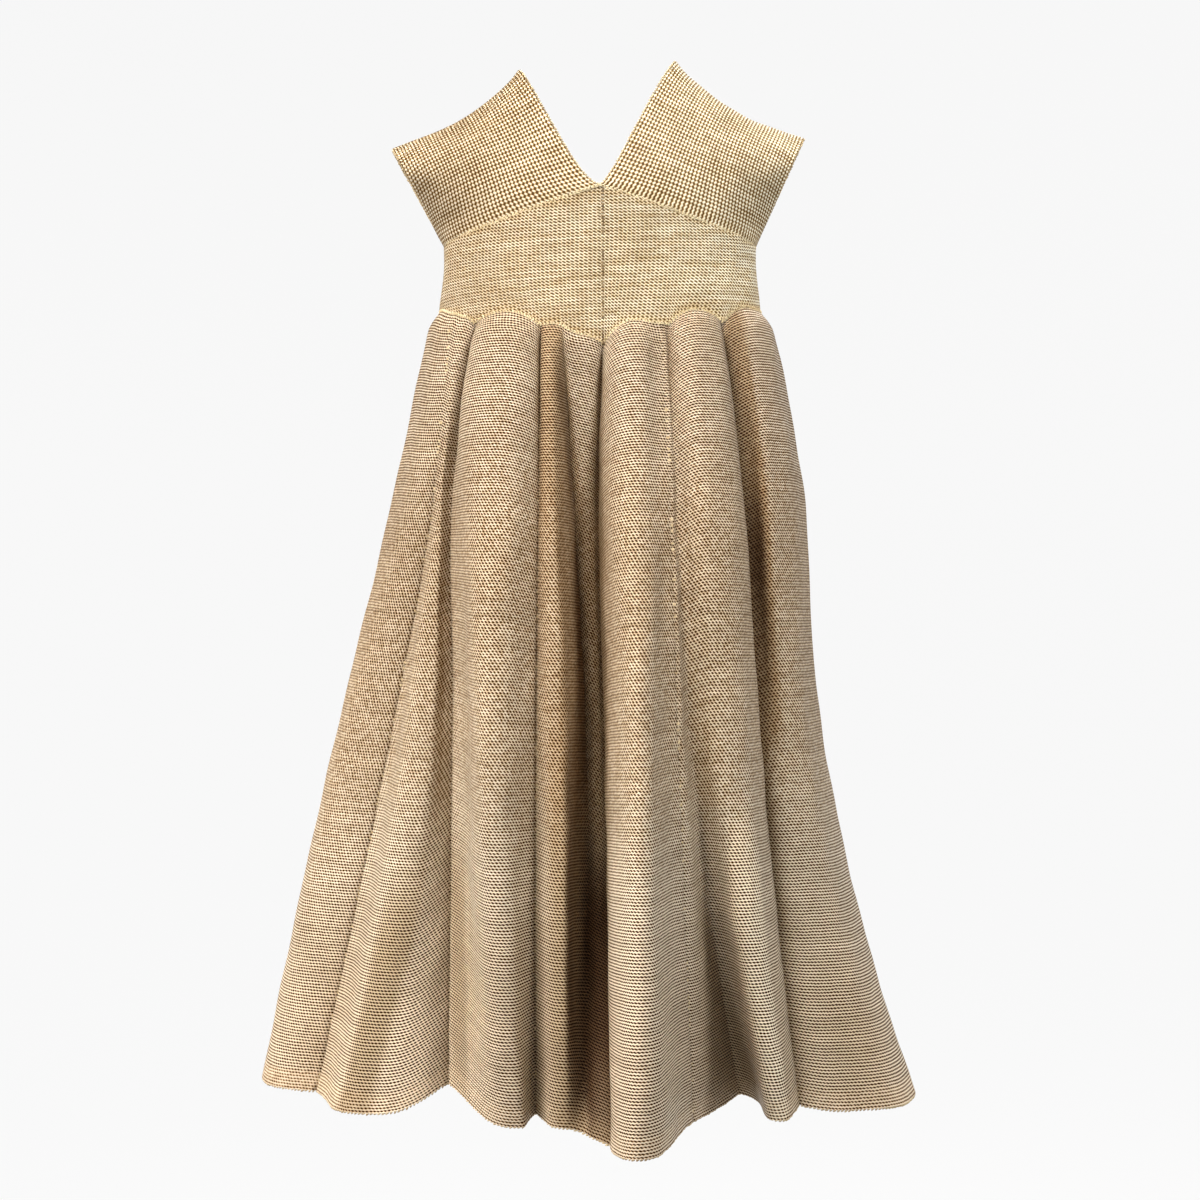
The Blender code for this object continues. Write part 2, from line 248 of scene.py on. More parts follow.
def clothShader(name, yarn):
    material = bpy.data.materials.new(name)
    material.use_nodes = True
    shader = material.node_tree.nodes["Principled BSDF"]
    shader.inputs["Roughness"].default_value = yarn["rough"][1]
    shader.inputs["Specular IOR Level"].default_value = yarn["specular"]
    return material, Board(material.node_tree), shader


def finishCloth(board, shader, yarn, tone, depth, tint):
    # tone runs from the holes (0) to the tops of the loops (1); it sets the bump, and the colour with painted
    # shade at its dark end and a painted glint at its top
    colour = board.node("ShaderNodeValToRGB", {"stops": yarn["stops"]}, {"Fac": tone}, "Color")
    colour = board.mix(1.0, colour, tint, "MULTIPLY")
    board.tree.links.new(colour.socket, shader.inputs["Base Color"])
    deep, high = yarn["rough"]
    rough = deep - tone * (deep - high)
    board.tree.links.new(rough.socket, shader.inputs["Roughness"])
    values = {"Height": tone, "Distance": depth, "Strength": 1.0}
    bump = board.node("ShaderNodeBump", {}, values, "Normal")
    board.tree.links.new(bump.socket, shader.inputs["Normal"])


patches = {"noise": (9, 3), "between": (0.36, 0.64)}  # how large and how clear the patches are


def patchyTint(board, place, rowNoise, shades):
    # slow changes of the yarn's shade over the cloth and from row to row
    patch = board.noise(place, *patches["noise"])
    shade = (patch * 0.5 + rowNoise * 0.5).between(*patches["between"])
    return board.mix(shade, *shades)


def streaks(board, across, down, shape):
    # noise that is long along the rows
    place = board.node("ShaderNodeCombineXYZ", {}, {0: across * shape[0], 1: down * shape[1]})
    return board.noise(place, 1.0)


def knitGrid(board):
    # stitches across and rows up, from the piece's own map
    place = board.node("ShaderNodeTexCoord", {}, {}, "Object")
    knit = board.node("ShaderNodeUVMap", {"uv_map": "knit"}, {}, "UV")
    return place, board.node("ShaderNodeSeparateXYZ", {}, {0: knit})


def perLoop(board, across, down):
    # by chance for each loop, from -0.5 to 0.5
    cell = board.node("ShaderNodeCombineXYZ", {}, {0: across.math("ROUND"), 1: down.math("ROUND")})
    return board.node("ShaderNodeTexWhiteNoise", {"noise_dimensions": "2D"}, {"Vector": cell}, "Value") - 0.5


def makeSkirtKnit():
    # garter stitch: ridges of two rows of loops that interlock, with staggered holes between them
    material, board, shader = clothShader("skirtKnit", skirtYarnAndShade)
    look, tints = skirtStitch, skirtTints
    place, grid = knitGrid(board)
    slow = board.noise(place, look["noise"][0]) - 0.5
    quick = board.noise(place, look["noise"][1], 1.0) - 0.5
    up = grid.out("Y")
    down = up + slow * look["slack"] + quick * look["shiver"][0]
    across = grid + slow * look["wander"] + quick * look["shiver"][1] - (down * 2).swing() * look["slant"]

    low, middle, high = look["row"]
    awayFromHem = up.between(*look["low"])
    groove = low - awayFromHem * (low - middle) + up.between(*look["high"]) * (high - middle)
    relief = (down * 2).wave() * groove + down.swing() * look["ridge"]
    low, high = look["mesh"]
    relief = relief - down.swing() * across.wave() * (low - awayFromHem * (low - high))
    first, last, flatter = look["flatter"]
    side = board.node("ShaderNodeSeparateXYZ", {}, {0: place})
    relief = relief * (side.between(first, last) * flatter + (1 - flatter))
    inHem = 1 - up.between(*look["hemRidges"])
    flat, pale = look["hemFlat"]
    relief = relief * (1 - inHem * flat) + inHem * pale

    # painted shade: the tone is set darker further up the skirt
    start, less = look["tone"]
    tone = start - up.between(*look["toneRidges"]) * less + relief
    tone = (tone + perLoop(board, across, down * 2) * look["perLoop"]).clamped()
    rowNoise = streaks(board, grid, down, look["rowShade"])
    tint = patchyTint(board, place, rowNoise, tints["patches"])
    # painted shade, lighter at the hem and darker toward the waist
    shade = board.mix(up.between(*tints["middleRidges"]), tints["hem"], tints["middle"])
    shade = board.mix(up.between(*tints["waistRidges"]), shade, tints["waist"])
    tint = board.mix(1.0, tint, shade, "MULTIPLY")
    # painted shade deep in the folds, and painted light where they are most open
    folds = board.node("ShaderNodeAttribute", {"attribute_name": "open"}, {}, "Fac")
    for name in ("fold", "deepFoldShade"):
        deep, shallow, colour = tints[name]
        tint = board.mix(folds.between(deep, shallow), colour, tint)
    least, most, colour = tints["litFold"]
    tint = board.mix(folds.between(least, most), tint, colour)
    finishCloth(board, shader, skirtYarnAndShade, tone, look["depth"], tint)
    return material


def makeBodiceKnit():
    # the even side of the knitting: a close grid of loops with a pinhole at each corner
    material, board, shader = clothShader("bodiceKnit", bodiceYarnAndShade)
    look, tints = bodiceStitch, bodiceTints
    place, grid = knitGrid(board)
    slow = board.noise(place, look["noise"][0]) - 0.5
    quick = board.noise(place, look["noise"][1], 1.0) - 0.5
    down = grid.out("Y") + slow * look["slack"] + quick * look["shiver"][0]
    across = grid + quick * look["shiver"][1] + slow * look["slack"] + down.swing() * look["lean"]

    even = 1 - board.node("ShaderNodeAttribute", {"attribute_name": "bars"}, {}, "Fac")
    leaning = board.node("ShaderNodeAttribute", {"attribute_name": "leaning"}, {}, "Fac")
    hole = across.wave() * (1 - leaning * look["leanColumns"]) * look["columns"]
    hole = hole + down.wave() * even * look["rows"]
    hole = hole + (across + down).wave() * even * leaning * look["slanting"]
    streak = streaks(board, grid, down, look["streakShape"]) - 0.5
    tone = look["tone"] - hole + streak * look["streak"] + perLoop(board, across, down) * look["perLoop"]
    tone = tone.clamped()

    rowNoise = streaks(board, grid, down, look["rowShade"])
    tint = patchyTint(board, place, rowNoise, tints["patches"])
    # painted light and shade across the bodice, darker on its right and lighter on its left
    side = board.node("ShaderNodeSeparateXYZ", {}, {0: place}).between(*tints["across"])
    tint = board.mix(1.0, tint, board.mix(side, tints["right"], tints["left"]), "MULTIPLY")
    finishCloth(board, shader, bodiceYarnAndShade, tone, look["depth"], tint)
    return material


def makeEdgeYarn(name, light, dark):
    # single loops along edges and seams
    material, board, shader = clothShader(name, bodiceYarnAndShade)
    place = board.node("ShaderNodeTexCoord", {}, {}, "Object")
    fine, slow = (board.noise(place, scale) for scale in strands["noise"])
    colour = board.mix((fine * 0.5 + slow * 0.5).between(*strands["between"]), dark, light)
    board.tree.links.new(colour.socket, shader.inputs["Base Color"])
    values = {"Height": fine, "Distance": strands["depth"], "Strength": strands["strength"]}
    bump = board.node("ShaderNodeBump", {}, values, "Normal")
    board.tree.links.new(bump.socket, shader.inputs["Normal"])
    return material


skirtKnit = makeSkirtKnit()
bodiceKnit = makeBodiceKnit()
edgeYarn, seamYarn, seamShadeYarn = (makeEdgeYarn(name, *shades) for name, shades in edgeShades.items())
print("yarns ready")


# --- the gown's shape, in metres unless a line says mm

body = {
    "neckLow": -56 * mm,
    "underarm": -86 * mm,
    "chest": (96.5 * mm, 55 * mm),  # half the width and half the depth
    "waistRing": (99.5 * mm, 58 * mm),
    "taper": 1.2,  # the higher, the sooner the chest's size is reached on the way up
    "rows": 34,
    "wale": 2.65 * mm,  # width of a stitch and height of a row
    "row": 1.87 * mm,
    "climb": 0.05,  # rows rise to the sides by this share
    "centreDent": (1.6 * mm, 0.7 * mm),  # wide and deep, along the seams at front and back
    "evenAtWaist": (8, 4),  # mm over which unevenness and dent begin above the waist
    # columns that show as bars at the waist and the top: how plain, and fading from mm over mm
    "waistBars": (0.5, 1, 5),
    "topBars": (0.4, 1, 3),
}

skirt = {
    "waist": -139 * mm,
    "hem": -611 * mm,
    "hemRing": (200 * mm, 150 * mm),
    "sideRise": 4 * mm,
    "levels": (0, 0.2, 0.5, 1),  # shares of the way down where the fold lines are given
    "rounding": 0.028,  # share in which the folds swell out from the seam
    "fullness": (1.3, 0.2),  # how far a fold's curve runs on, by its reach and by its length
    "arch": 2,  # how steeply waist and hem climb out of a valley
    "creases": {"crest": 0, "flank": 0, "valley": 0.85},  # sharpness at the waist
    "sideTurn": 92,  # where the back's fold lines start, in degrees from straight ahead
    "centreFront": 9,  # the middle of the front, by fold line
    "centreBack": 8,  # and of the back
    "steps": 72,  # points from one fold line to the next
    "columns": 46,  # of each gore
    "leastColumns": 6,  # between two fold lines
    "bendWorth": 9 * mm,  # a bend of one radian gets as many columns as this length
    "topRows": (0, 0.004, 0.009, 0.015, 0.022, 0.03),  # shares of the way down, then even ones
    "rows": 112,
    "stitch": (2.0 * mm, 2.3 * mm),  # width of a stitch at the waist and at the hem
    "ridge": (3.36 * mm, 3.91 * mm),  # height of a ridge at the waist and at the hem
    "length": 490 * mm,  # of the cloth, to count its ridges
    "wall": 2 * mm,
    "seamGap": 0.1 * mm,
    "seamDent": (1.7 * mm, 0.5 * mm, 0.35 * mm),  # wide, deep, and how much deeper where it puckers
    "pucker": (330, 2.1),  # how closely the puckers follow each other, down and round
    "plainSeams": (4, 9),  # seams whose sewing lies out of sight, by fold line
}

# Fold lines in mm and degrees, from the right side round the front to the left. kind, and whether a seam
# runs there; turn from straight ahead at the waist, rise and bulge there; then across, ahead, facing and
# sharpness at three levels; last, how much lower than the rest the hem hangs there.
Fold = namedtuple("Fold", "kind seam turn rise bulge high low hem drop")
frontFolds = [
    Fold("valley", True, -95, 0, -3, (-118, -14, -99, 0.8), (-143, -46, -99, 0.8), (-180, -96, -105, 0.7), 0),
    Fold("crest", False, -77, 9, 6, (-125, -2, -72, 0), (-161.5, -22, -77, 0), (-218, -60, -85, 0), 0),
    Fold("flank", True, -62, 6, 5, (-99, 47, -46, 0.1), (-126, 24, -44, 0.15), (-178, -14, -40, 0.3), 0),
    Fold("crest", False, -56, 4, 4, (-94.5, 50, -35, 0), (-101, 61, -15, 0), (-142, 53, -14, 0), 0),
    Fold("valley", True, -50, 0, -4, (-88, 47, -28, 0.5), (-88.5, 55, -17, 0.4), (-91, 52, -8, 0.4), -18),
    Fold("crest", False, -34, 7, 8, (-61, 93, -16, 0), (-62, 116, -8, 0), (-47, 88, 6, 0), 1),
    Fold("valley", True, -21, -1, -1, (-36, 86, -11, 0.5), (-37, 101, -9, 0.5), (-38, 73, -5, 0.5), -4),
    Fold("crest", False, -16.7, 0, 5, (-27.5, 93, -8, 0), (-23, 113, -4, 0), (-21, 93, -14, 0), 0),
    Fold("valley", False, -13, -1, 3, (-16.5, 66, 29, 0.55), (-8.5, 72, 29, 0.55), (-8.5, 93, -30, 0.2), 3),
    Fold("valley", True, 1, -12, -2, (-1, 64, -19, 0.72), (2.6, 71, -26, 0.7), (6.3, 104, -66, 0.35), 8),
    Fold("crest", False, 12, 2, 8, (21, 104, 5, 0), (23, 142, 4, 0), (21, 145, 0, 0), 6.5),
    Fold("flank", True, 21.5, 0, 0, (41, 92, 22, 0), (45, 114, 36, 0), (56, 66, 68, 0), 2),
    Fold("valley", False, 24, -1, -3, (44, 88, 15, 0.35), (52, 101, 15, 0.4), (85.5, 16, 15, 0.5), -4),
    Fold("crest", False, 35, 8, 8, (62, 92, 17, 0), (70, 106, 9, 0), (105, 73, -4, 0), 0),
    Fold("valley", True, 48, 1, -3, (82.5, 50, 31, 0.8), (94, 52, 29, 0.7), (120, 47, 25, 0.5), -4),
    Fold("crest", False, 63, 10, 7, (102, 54, 42, 0), (112, 52, 32, 0), (163, 40, 15, 0), 0),
    Fold("crest", False, 80, 9, 6, (123.5, 6, 73, 0), (134, 6, 74, 0), (196, -4, 75, 0), 0),
]
# The back, from the left side to the right: where each fold reaches the hem, in mm
backFolds = [
    ("valley", (177, -54)),
    ("crest", (183, -88)),
    ("valley", (137, -86)),
    ("crest", (129, -131)),
    ("valley", (88, -104)),
    ("crest", (70, -152)),
    ("valley", (41, -114)),
    ("crest", (16, -158)),
    ("valley", (-12, -116)),
    ("crest", (-42, -156)),
    ("valley", (-72, -110)),
    ("crest", (-103, -146)),
    ("valley", (-132, -98)),
    ("crest", (-166, -131)),
]
# share of the way out to there at the two upper levels: across on either side, and behind
backWay = {"right": (0.2, 0.47), "left": (0.2, 0.33), "behind": (0.33, 0.66)}
backEdges = {"crest": (7, 8, 0), "valley": (0, -3, -3)}  # rise and bulge at the waist, drop at the hem
backCrease = 0.75  # sharpness of its valleys

# Softer creases, pressed in. where: fold line and share of the way to the next one, at the top
# and at the bottom of the crease; share: how far down it starts and ends; wide and deep in mm, with a
# minus for a ridge.
Crease = namedtuple("Crease", "where share wide deep")
# each fades in and out over these shares of its own way down, and wanders by a share of a fold
creaseShape = {"fade": (0.3, 0.35), "wander": 0.03, "waves": 7}
creases = [
    Crease((7.35, 7.5), (0.1, 0.7), 9, 1.2),
    Crease((2.15, 2.1), (0.1, 0.95), 10, 2.2),
    Crease((2.6, 2.55), (0.15, 0.9), 9, -1.5),
    Crease((14.35, 14.3), (0.02, 0.62), 7, 3.2),
    Crease((14.75, 14.7), (0.05, 0.5), 8, -1.2),
    Crease((5.3, 5.25), (0.25, 0.75), 12, 1.0),
    Crease((4.5, 4.6), (0.3, 0.85), 9, -1.0),
    Crease((10.35, 10.4), (0.35, 0.9), 10, 1.2),
    Crease((9.6, 9.7), (0.1, 0.45), 8, -0.9),
    Crease((13.45, 13.5), (0.3, 0.95), 9, 1.3),
    Crease((12.6, 12.7), (0.45, 0.9), 8, -1.0),
    Crease((15.5, 15.55), (0.35, 0.95), 12, 1.8),
    Crease((0.5, 0.55), (0.2, 0.8), 10, 1.4),
    Crease((1.4, 1.35), (0.35, 0.95), 9, -1.2),
    Crease((3.3, 3.5), (0.5, 1.1), 9, 1.2),
    Crease((18.45, 18.5), (0.1, 0.7), 9, 1.8),
    Crease((20.4, 20.3), (0.02, 0.3), 6, 2.6),
    Crease((22.5, 22.6), (0.25, 0.9), 10, 1.6),
    Crease((23.6, 23.5), (0.05, 0.35), 6, 2.4),
    Crease((24.35, 24.4), (0.3, 0.85), 11, -1.3),
    Crease((26.5, 26.4), (0.15, 0.6), 9, 1.7),
    Crease((28.4, 28.5), (0.35, 1.1), 10, 1.4),
    Crease((30.4, 30.5), (0.05, 0.5), 8, 2.2),
]

# Painted shade where the folds are so deep that hardly any light gets in: where and share as above, wide in
# mm, and how much of the openness is taken away, with a minus for painted light where more light gets in.
Dusk = namedtuple("Dusk", "where share wide much")
duskFade = 0.35  # share of its own way down over which each fades in and out
dusks = [
    Dusk((8.55, 8.75), (0.55, 1.15), 15, 1.4),
    Dusk((7.7, 8.0), (-0.02, 0.3), 9, 0.7),
    Dusk((7.3, 7.5), (0.35, 1.2), 16, 0.5),
    Dusk((6.5, 6.75), (-0.05, 0.25), 8, 0.3),
    Dusk((14.5, 14.3), (-0.15, 0.42), 8, 0.75),
    Dusk((1.5, 1.5), (0.55, 1.5), 60, 0.3),
    Dusk((14.2, 14.3), (0.2, 0.6), 12, 0.7),
    Dusk((4.1, 4.2), (0.6, 1.1), 10, 0.5),
    Dusk((12.6, 12.7), (0.55, 1.15), 24, -1.0),
    Dusk((15.0, 15.05), (0.65, 1.4), 24, 0.45),
    Dusk((7.0, 7.0), (-0.35, 0.4), 8, 0.35),
    Dusk((7.0, 7.05), (-0.2, 1.3), 12, 0.38),
    Dusk((2.95, 2.85), (0.6, 1.2), 15, 0.75),
    Dusk((5.0, 5.0), (-0.3, 0.35), 18, 0.33),
    Dusk((4.0, 4.0), (-0.1, 0.65), 7, -0.5),
]


def smooth(x):
    x = np.clip(x, 0, 1)
    return x * x * (3 - 2 * x)


def unit(vectors):
    return vectors / np.maximum(np.linalg.norm(vectors, axis=-1, keepdims=True), 1e-9)


def facingOnRing(place, halfSizes, near):
    # in degrees from straight ahead, on the same turn as near
    across, ahead = np.array(place) / np.square(halfSizes)
    return near + (np.degrees(np.arctan2(across, ahead)) - near + 180) % 360 - 180


def onRing(halfSizes, turns):
    return np.stack([halfSizes[0] * np.sin(turns), -halfSizes[1] * np.cos(turns)], axis=-1)


def turnsOf(row, halfSizes):
    return np.arctan2(row[:, 0] / halfSizes[0], -row[:, 1] / halfSizes[1])


def hiddenFolds():
    # the back's fold lines, spread over the waist and led to their places at the hem
    middle = 180 + frontFolds[skirt["centreFront"]].turn
    last = 360 + frontFolds[0].turn
    marks = (0, skirt["centreBack"], len(backFolds))
    turns = np.interp(range(len(backFolds)), marks, (skirt["sideTurn"], middle, last))
    made = []
    for (kind, hem), turn in zip(backFolds, turns):
        start = onRing(body["waistRing"], radians(turn)) / mm * (1, -1)
        first = facingOnRing(start, body["waistRing"], turn)
        end = facingOnRing(hem, skirt["hemRing"], turn)
        side = "left" if hem[0] > 0 else "right"
        levels = []
        for share, way in zip(skirt["levels"][1:], (*zip(backWay[side], backWay["behind"]), (1, 1))):
            place = start + (np.array(hem) - start) * way
            levels.append((*place, first + (end - first) * share, backCrease * (kind == "valley")))
        rise, bulge, drop = backEdges[kind]
        made.append(Fold(kind, kind == "valley", turn, rise, bulge, *levels, drop))
    return made


folds = frontFolds + hiddenFolds()


def betweenLevels(values, share):
    # a smooth curve down through the values at the levels
    knots = np.array(skirt["levels"])
    slopes = np.gradient(values, knots, axis=0, edge_order=2)
    i = min(int(np.searchsorted(knots, share, side="right")) - 1, len(knots) - 2)
    span = knots[i + 1] - knots[i]
    x = (share - knots[i]) / span
    rise = (3 - 2 * x) * x * x
    return (
        values[i] * (1 - rise)
        + values[i + 1] * rise
        + slopes[i] * span * x * (1 - x) ** 2
        - slopes[i + 1] * span * x * x * (1 - x)
    )


def straight(values, share):
    # one value per level for each fold line
    return np.array([np.interp(share, skirt["levels"], each) for each in np.transpose(values)])


def around(values):
    # one value for each fold line, led all round: level over the crests and steep in the valleys
    values = np.array(values, float)
    steep = np.array([skirt["arch"] * (fold.kind == "valley") for fold in folds])[:, None]
    x = np.arange(skirt["steps"]) / skirt["steps"]
    ease = smooth(x) + steep * x * (1 - x) ** 2 - np.roll(steep, -1, axis=0) * x * x * (1 - x)
    return (values[:, None] + (np.roll(values, -1) - values)[:, None] * ease).ravel()


def handles(directions, chords):
    # how far a fold's curve runs on in its own direction
    directions = unit(directions)
    reach = np.abs(np.sum(directions * chords, axis=1, keepdims=True))
    length = np.linalg.norm(chords, axis=1, keepdims=True)
    return directions * (skirt["fullness"][0] * reach + skirt["fullness"][1] * length)


def foldCurve(points, faces, sharp):
    # the closed line through the fold points, which swings over the crests and comes to a point in creases
    chord = np.roll(points, -1, axis=0) - points
    along = np.column_stack([np.cos(faces), np.sin(faces)]) * (1 - sharp)
    outward = np.column_stack([np.sin(faces), -np.cos(faces)]) * sharp
    leaving = handles(along + outward, chord)
    arriving = np.roll(handles(along - outward, np.roll(chord, 1, axis=0)), -1, axis=0)
    x = (np.arange(skirt["steps"]) / skirt["steps"])[None, :, None]
    curve = (
        points[:, None]
        + chord[:, None] * x * x * (3 - 2 * x)
        + leaving[:, None] * x * (1 - x) ** 2
        - arriving[:, None] * x * x * (1 - x)
    )
    return curve.reshape(-1, 2)


def skirtRing(share):
    # the skirt's line all round, at a share of the way from waist to hem
    turns = np.array([fold.turn for fold in folds])
    waist = onRing(body["waistRing"], np.radians(turns))
    outward = unit(waist / np.square(body["waistRing"]))
    places = [waist + outward * np.array([fold.bulge for fold in folds])[:, None] * mm]
    faces = [[facingOnRing(place * (1, -1), body["waistRing"], turn) for place, turn in zip(waist, turns)]]
    sharp = [[skirt["creases"][fold.kind] for fold in folds]]
    for level in ("high", "low", "hem"):
        values = np.array([getattr(fold, level) for fold in folds])
        places.append(values[:, :2] * (mm, -mm))
        faces.append(values[:, 2])
        sharp.append(values[:, 3])
    places = betweenLevels(np.array(places), share)
    ring = foldCurve(places, np.radians(straight(faces, share)), straight(sharp, share)[:, None])
    between = np.arange(len(folds) * skirt["steps"]) / skirt["steps"]
    allTurns = np.radians(np.interp(between, range(len(folds) + 1), np.append(turns, turns[0] + 360)))
    seam = onRing(body["waistRing"], allTurns)
    flat = seam + (ring - seam) * (1 - max(0, 1 - share / skirt["rounding"]) ** 2)
    start = skirt["waist"] + skirt["sideRise"] * np.sin(allTurns) ** 2
    start = start + around([fold.rise for fold in folds]) * mm
    end = skirt["hem"] - around([fold.drop for fold in folds]) * mm
    return np.column_stack([flat, start + (end - start) * share])


def stretchOf(ring, i):
    # from one fold line to the next: its points, and a run that counts bends as well as length
    points = ring[np.arange(i * skirt["steps"], (i + 1) * skirt["steps"] + 1) % len(ring)]
    steps = np.diff(points, axis=0)
    bends = np.abs(np.gradient(np.unwrap(np.arctan2(steps[:, 1], steps[:, 0]))))
    worth = np.linalg.norm(steps, axis=1) + skirt["bendWorth"] * bends
    return points, np.append(0, np.cumsum(worth))


def spreadPoints(ring, i, count):
    points, run = stretchOf(ring, i)
    wanted = np.linspace(0, run[-1], count + 1)[:-1]
    return np.stack([np.interp(wanted, run, points[:, axis]) for axis in range(3)], axis=-1)


def columnCounts(first, last):
    # a gore's columns, shared out between its fold lines
    sizes = [stretchOf(skirtRing(1), i)[1][-1] for i in range(first, last)]
    least = skirt["leastColumns"]
    ends = np.round(np.cumsum([0] + sizes) / sum(sizes) * (skirt["columns"] - least * len(sizes)))
    return least + np.diff(ends.astype(int))


def inward(grid, closed):
    # unit directions into the cloth; rows of the grid run round from right to left
    if closed:
        steps = unit(np.roll(grid, -1, axis=1) - grid)
        before = np.roll(steps, 1, axis=1)
    else:
        steps = unit(np.diff(grid, axis=1, append=2 * grid[:, -1:] - grid[:, -2:-1]))
        before = np.concatenate([steps[:, :1], steps[:, :-1]], axis=1)
    return unit(np.cross(steps + before, np.gradient(grid, axis=0)))


def intoRing(halfSizes, turns):
    level = unit(-onRing(halfSizes, turns) / np.square(halfSizes))
    return np.column_stack([level, np.zeros(len(level))])


def runAlong(grid, axis):
    # distance along the grid's rows (axis 1) or columns (axis 0)
    steps = np.linalg.norm(np.diff(grid, axis=axis), axis=2)
    start = np.zeros_like(steps[:, :1] if axis else steps[:1])
    return np.concatenate([start, np.cumsum(steps, axis=axis)], axis=axis)


def creaseDepth(arc, places, shares):
    # how far each point of the skirt is pressed in; places counts fold lines along each row
    depth = np.zeros_like(arc)
    fadeIn, fadeOut = creaseShape["fade"]
    for crease in creases:
        begin, end = crease.share
        way = np.clip((shares - begin) / (end - begin), 0, 1)
        fade = smooth(way / fadeIn) * smooth((1 - way) / fadeOut)
        path = crease.where[0] + (crease.where[1] - crease.where[0]) * way
        path = path + creaseShape["wander"] * np.sin(way * creaseShape["waves"] + begin * 20)
        for i in np.nonzero(fade > 0)[0]:
            middle = np.interp(path[i], places, arc[i])
            depth[i] += fade[i] * crease.deep * mm * np.exp(-((arc[i] - middle) / (crease.wide * mm)) ** 2)
    return depth


def duskDepth(arc, places, shares):
    # how much openness the dusks take from each point, for the painted shade and light
    taken = np.zeros_like(arc)
    for dusk in dusks:
        begin, end = dusk.share
        way = np.clip((shares - begin) / (end - begin), 0, 1)
        fade = smooth(way / duskFade) * smooth((1 - way) / duskFade)
        path = dusk.where[0] + (dusk.where[1] - dusk.where[0]) * way
        for i in np.nonzero(fade > 0)[0]:
            middle = np.interp(path[i], places, arc[i])
            taken[i] += fade[i] * dusk.much * np.exp(-((arc[i] - middle) / (dusk.wide * mm)) ** 4)
    return taken


# a fan of rays from just outside each point, the widest in degrees to each side, on this many rows
lightRays = {"count": 11, "widest": 80, "start": 0.5 * mm, "rows": 20}


def openness(ring, normals):
    # how much of the light around it reaches each point of a ring: 1 on a crest, little in a valley
    points = ring[:, :2]
    start = points + normals * lightRays["start"]
    side = np.roll(points, -1, axis=0) - points
    gap = points[None] - start[:, None]
    seen = np.zeros(len(points))
    angles = np.radians(np.linspace(-lightRays["widest"], lightRays["widest"], lightRays["count"]))
    for angle in angles:
        x, y = normals[:, 0], normals[:, 1]
        way = np.column_stack([x * cos(angle) - y * sin(angle), x * sin(angle) + y * cos(angle)])
        cross = way[:, None, 0] * side[None, :, 1] - way[:, None, 1] * side[None, :, 0]
        cross = np.where(np.abs(cross) < 1e-12, 1e-12, cross)
        far = (gap[:, :, 0] * side[None, :, 1] - gap[:, :, 1] * side[None, :, 0]) / cross
        along = (gap[:, :, 0] * way[:, None, 1] - gap[:, :, 1] * way[:, None, 0]) / cross
        blocked = (far > 0) & (along >= 0) & (along <= 1)
        seen += cos(angle) * ~blocked.any(axis=1)
    return seen / np.cos(angles).sum()


def unevenness(grid):
    # the slow unevenness of hand-worked cloth, under a millimetre
    x, y, z = (grid / mm).transpose(2, 0, 1)
    first = np.sin(x * 0.11 + z * 0.031 + 1.3) * np.sin(z * 0.083 + y * 0.05)
    second = np.sin(x * 0.23 - z * 0.11 + y * 0.19) * 0.5
    return (first + second) * 0.35 * mm


def makeCloth(node, outer, into, uv, looks, material):
    # a closed thin wall in a node's place, with the knit's columns and rows as its UV map
    name = node + "_cloth"
    rows, columns = outer.shape[:2]
    count = rows * columns
    points = np.concatenate([outer.reshape(-1, 3), (outer + into * skirt["wall"]).reshape(-1, 3)])
    index = np.arange(count).reshape(rows, columns)
    quads = np.stack([index[:-1, :-1], index[1:, :-1], index[1:, 1:], index[:-1, 1:]], axis=-1).reshape(-1, 4)
    rim = np.concatenate([index[0, :-1], index[:-1, -1], index[-1, :0:-1], index[:0:-1, 0]])
    after = np.roll(rim, -1)
    sides = np.stack([rim, after, after + count, rim + count], axis=-1)
    faces = np.concatenate([quads, quads[:, ::-1] + count, sides])
    corners = points[faces]
    volume = np.einsum("ij,ij->i", corners[:, 0], np.cross(corners[:, 1], corners[:, 2])).sum()
    volume += np.einsum("ij,ij->i", corners[:, 0], np.cross(corners[:, 2], corners[:, 3])).sum()
    if volume < 0:
        faces = faces[:, ::-1]
    mesh = bpy.data.meshes.new(name)
    mesh.from_pydata(points.tolist(), [], faces.tolist())
    layer = mesh.uv_layers.new(name="knit")
    corner = np.zeros(len(mesh.loops), int)
    mesh.loops.foreach_get("vertex_index", corner)
    flatUv = np.concatenate([uv.reshape(-1, 2)] * 2)
    layer.data.foreach_set("uv", flatUv[corner].ravel())
    for label, values in looks.items():
        attribute = mesh.attributes.new(label, "FLOAT", "POINT")
        attribute.data.foreach_set("value", np.concatenate([values.ravel()] * 2))
    mesh.polygons.foreach_set("use_smooth", np.ones(len(faces), bool))
    mesh.set_sharp_from_angle(angle=radians(80))
    mesh.materials.append(material)
    piece = bpy.data.objects.new(name, mesh)
    bpy.context.scene.collection.objects.link(piece)
    return piece


def trimSides(grid):
    # each piece stops a hair short of the seam
    gap = skirt["seamGap"] / 2
    outer = grid.copy()
    for edge, nextOne in ((0, 1), (-1, -2)):
        away = unit(grid[:, nextOne] - grid[:, edge])
        outer[:, edge] += away * gap
    return outer


pieces = {}

# --- skirt

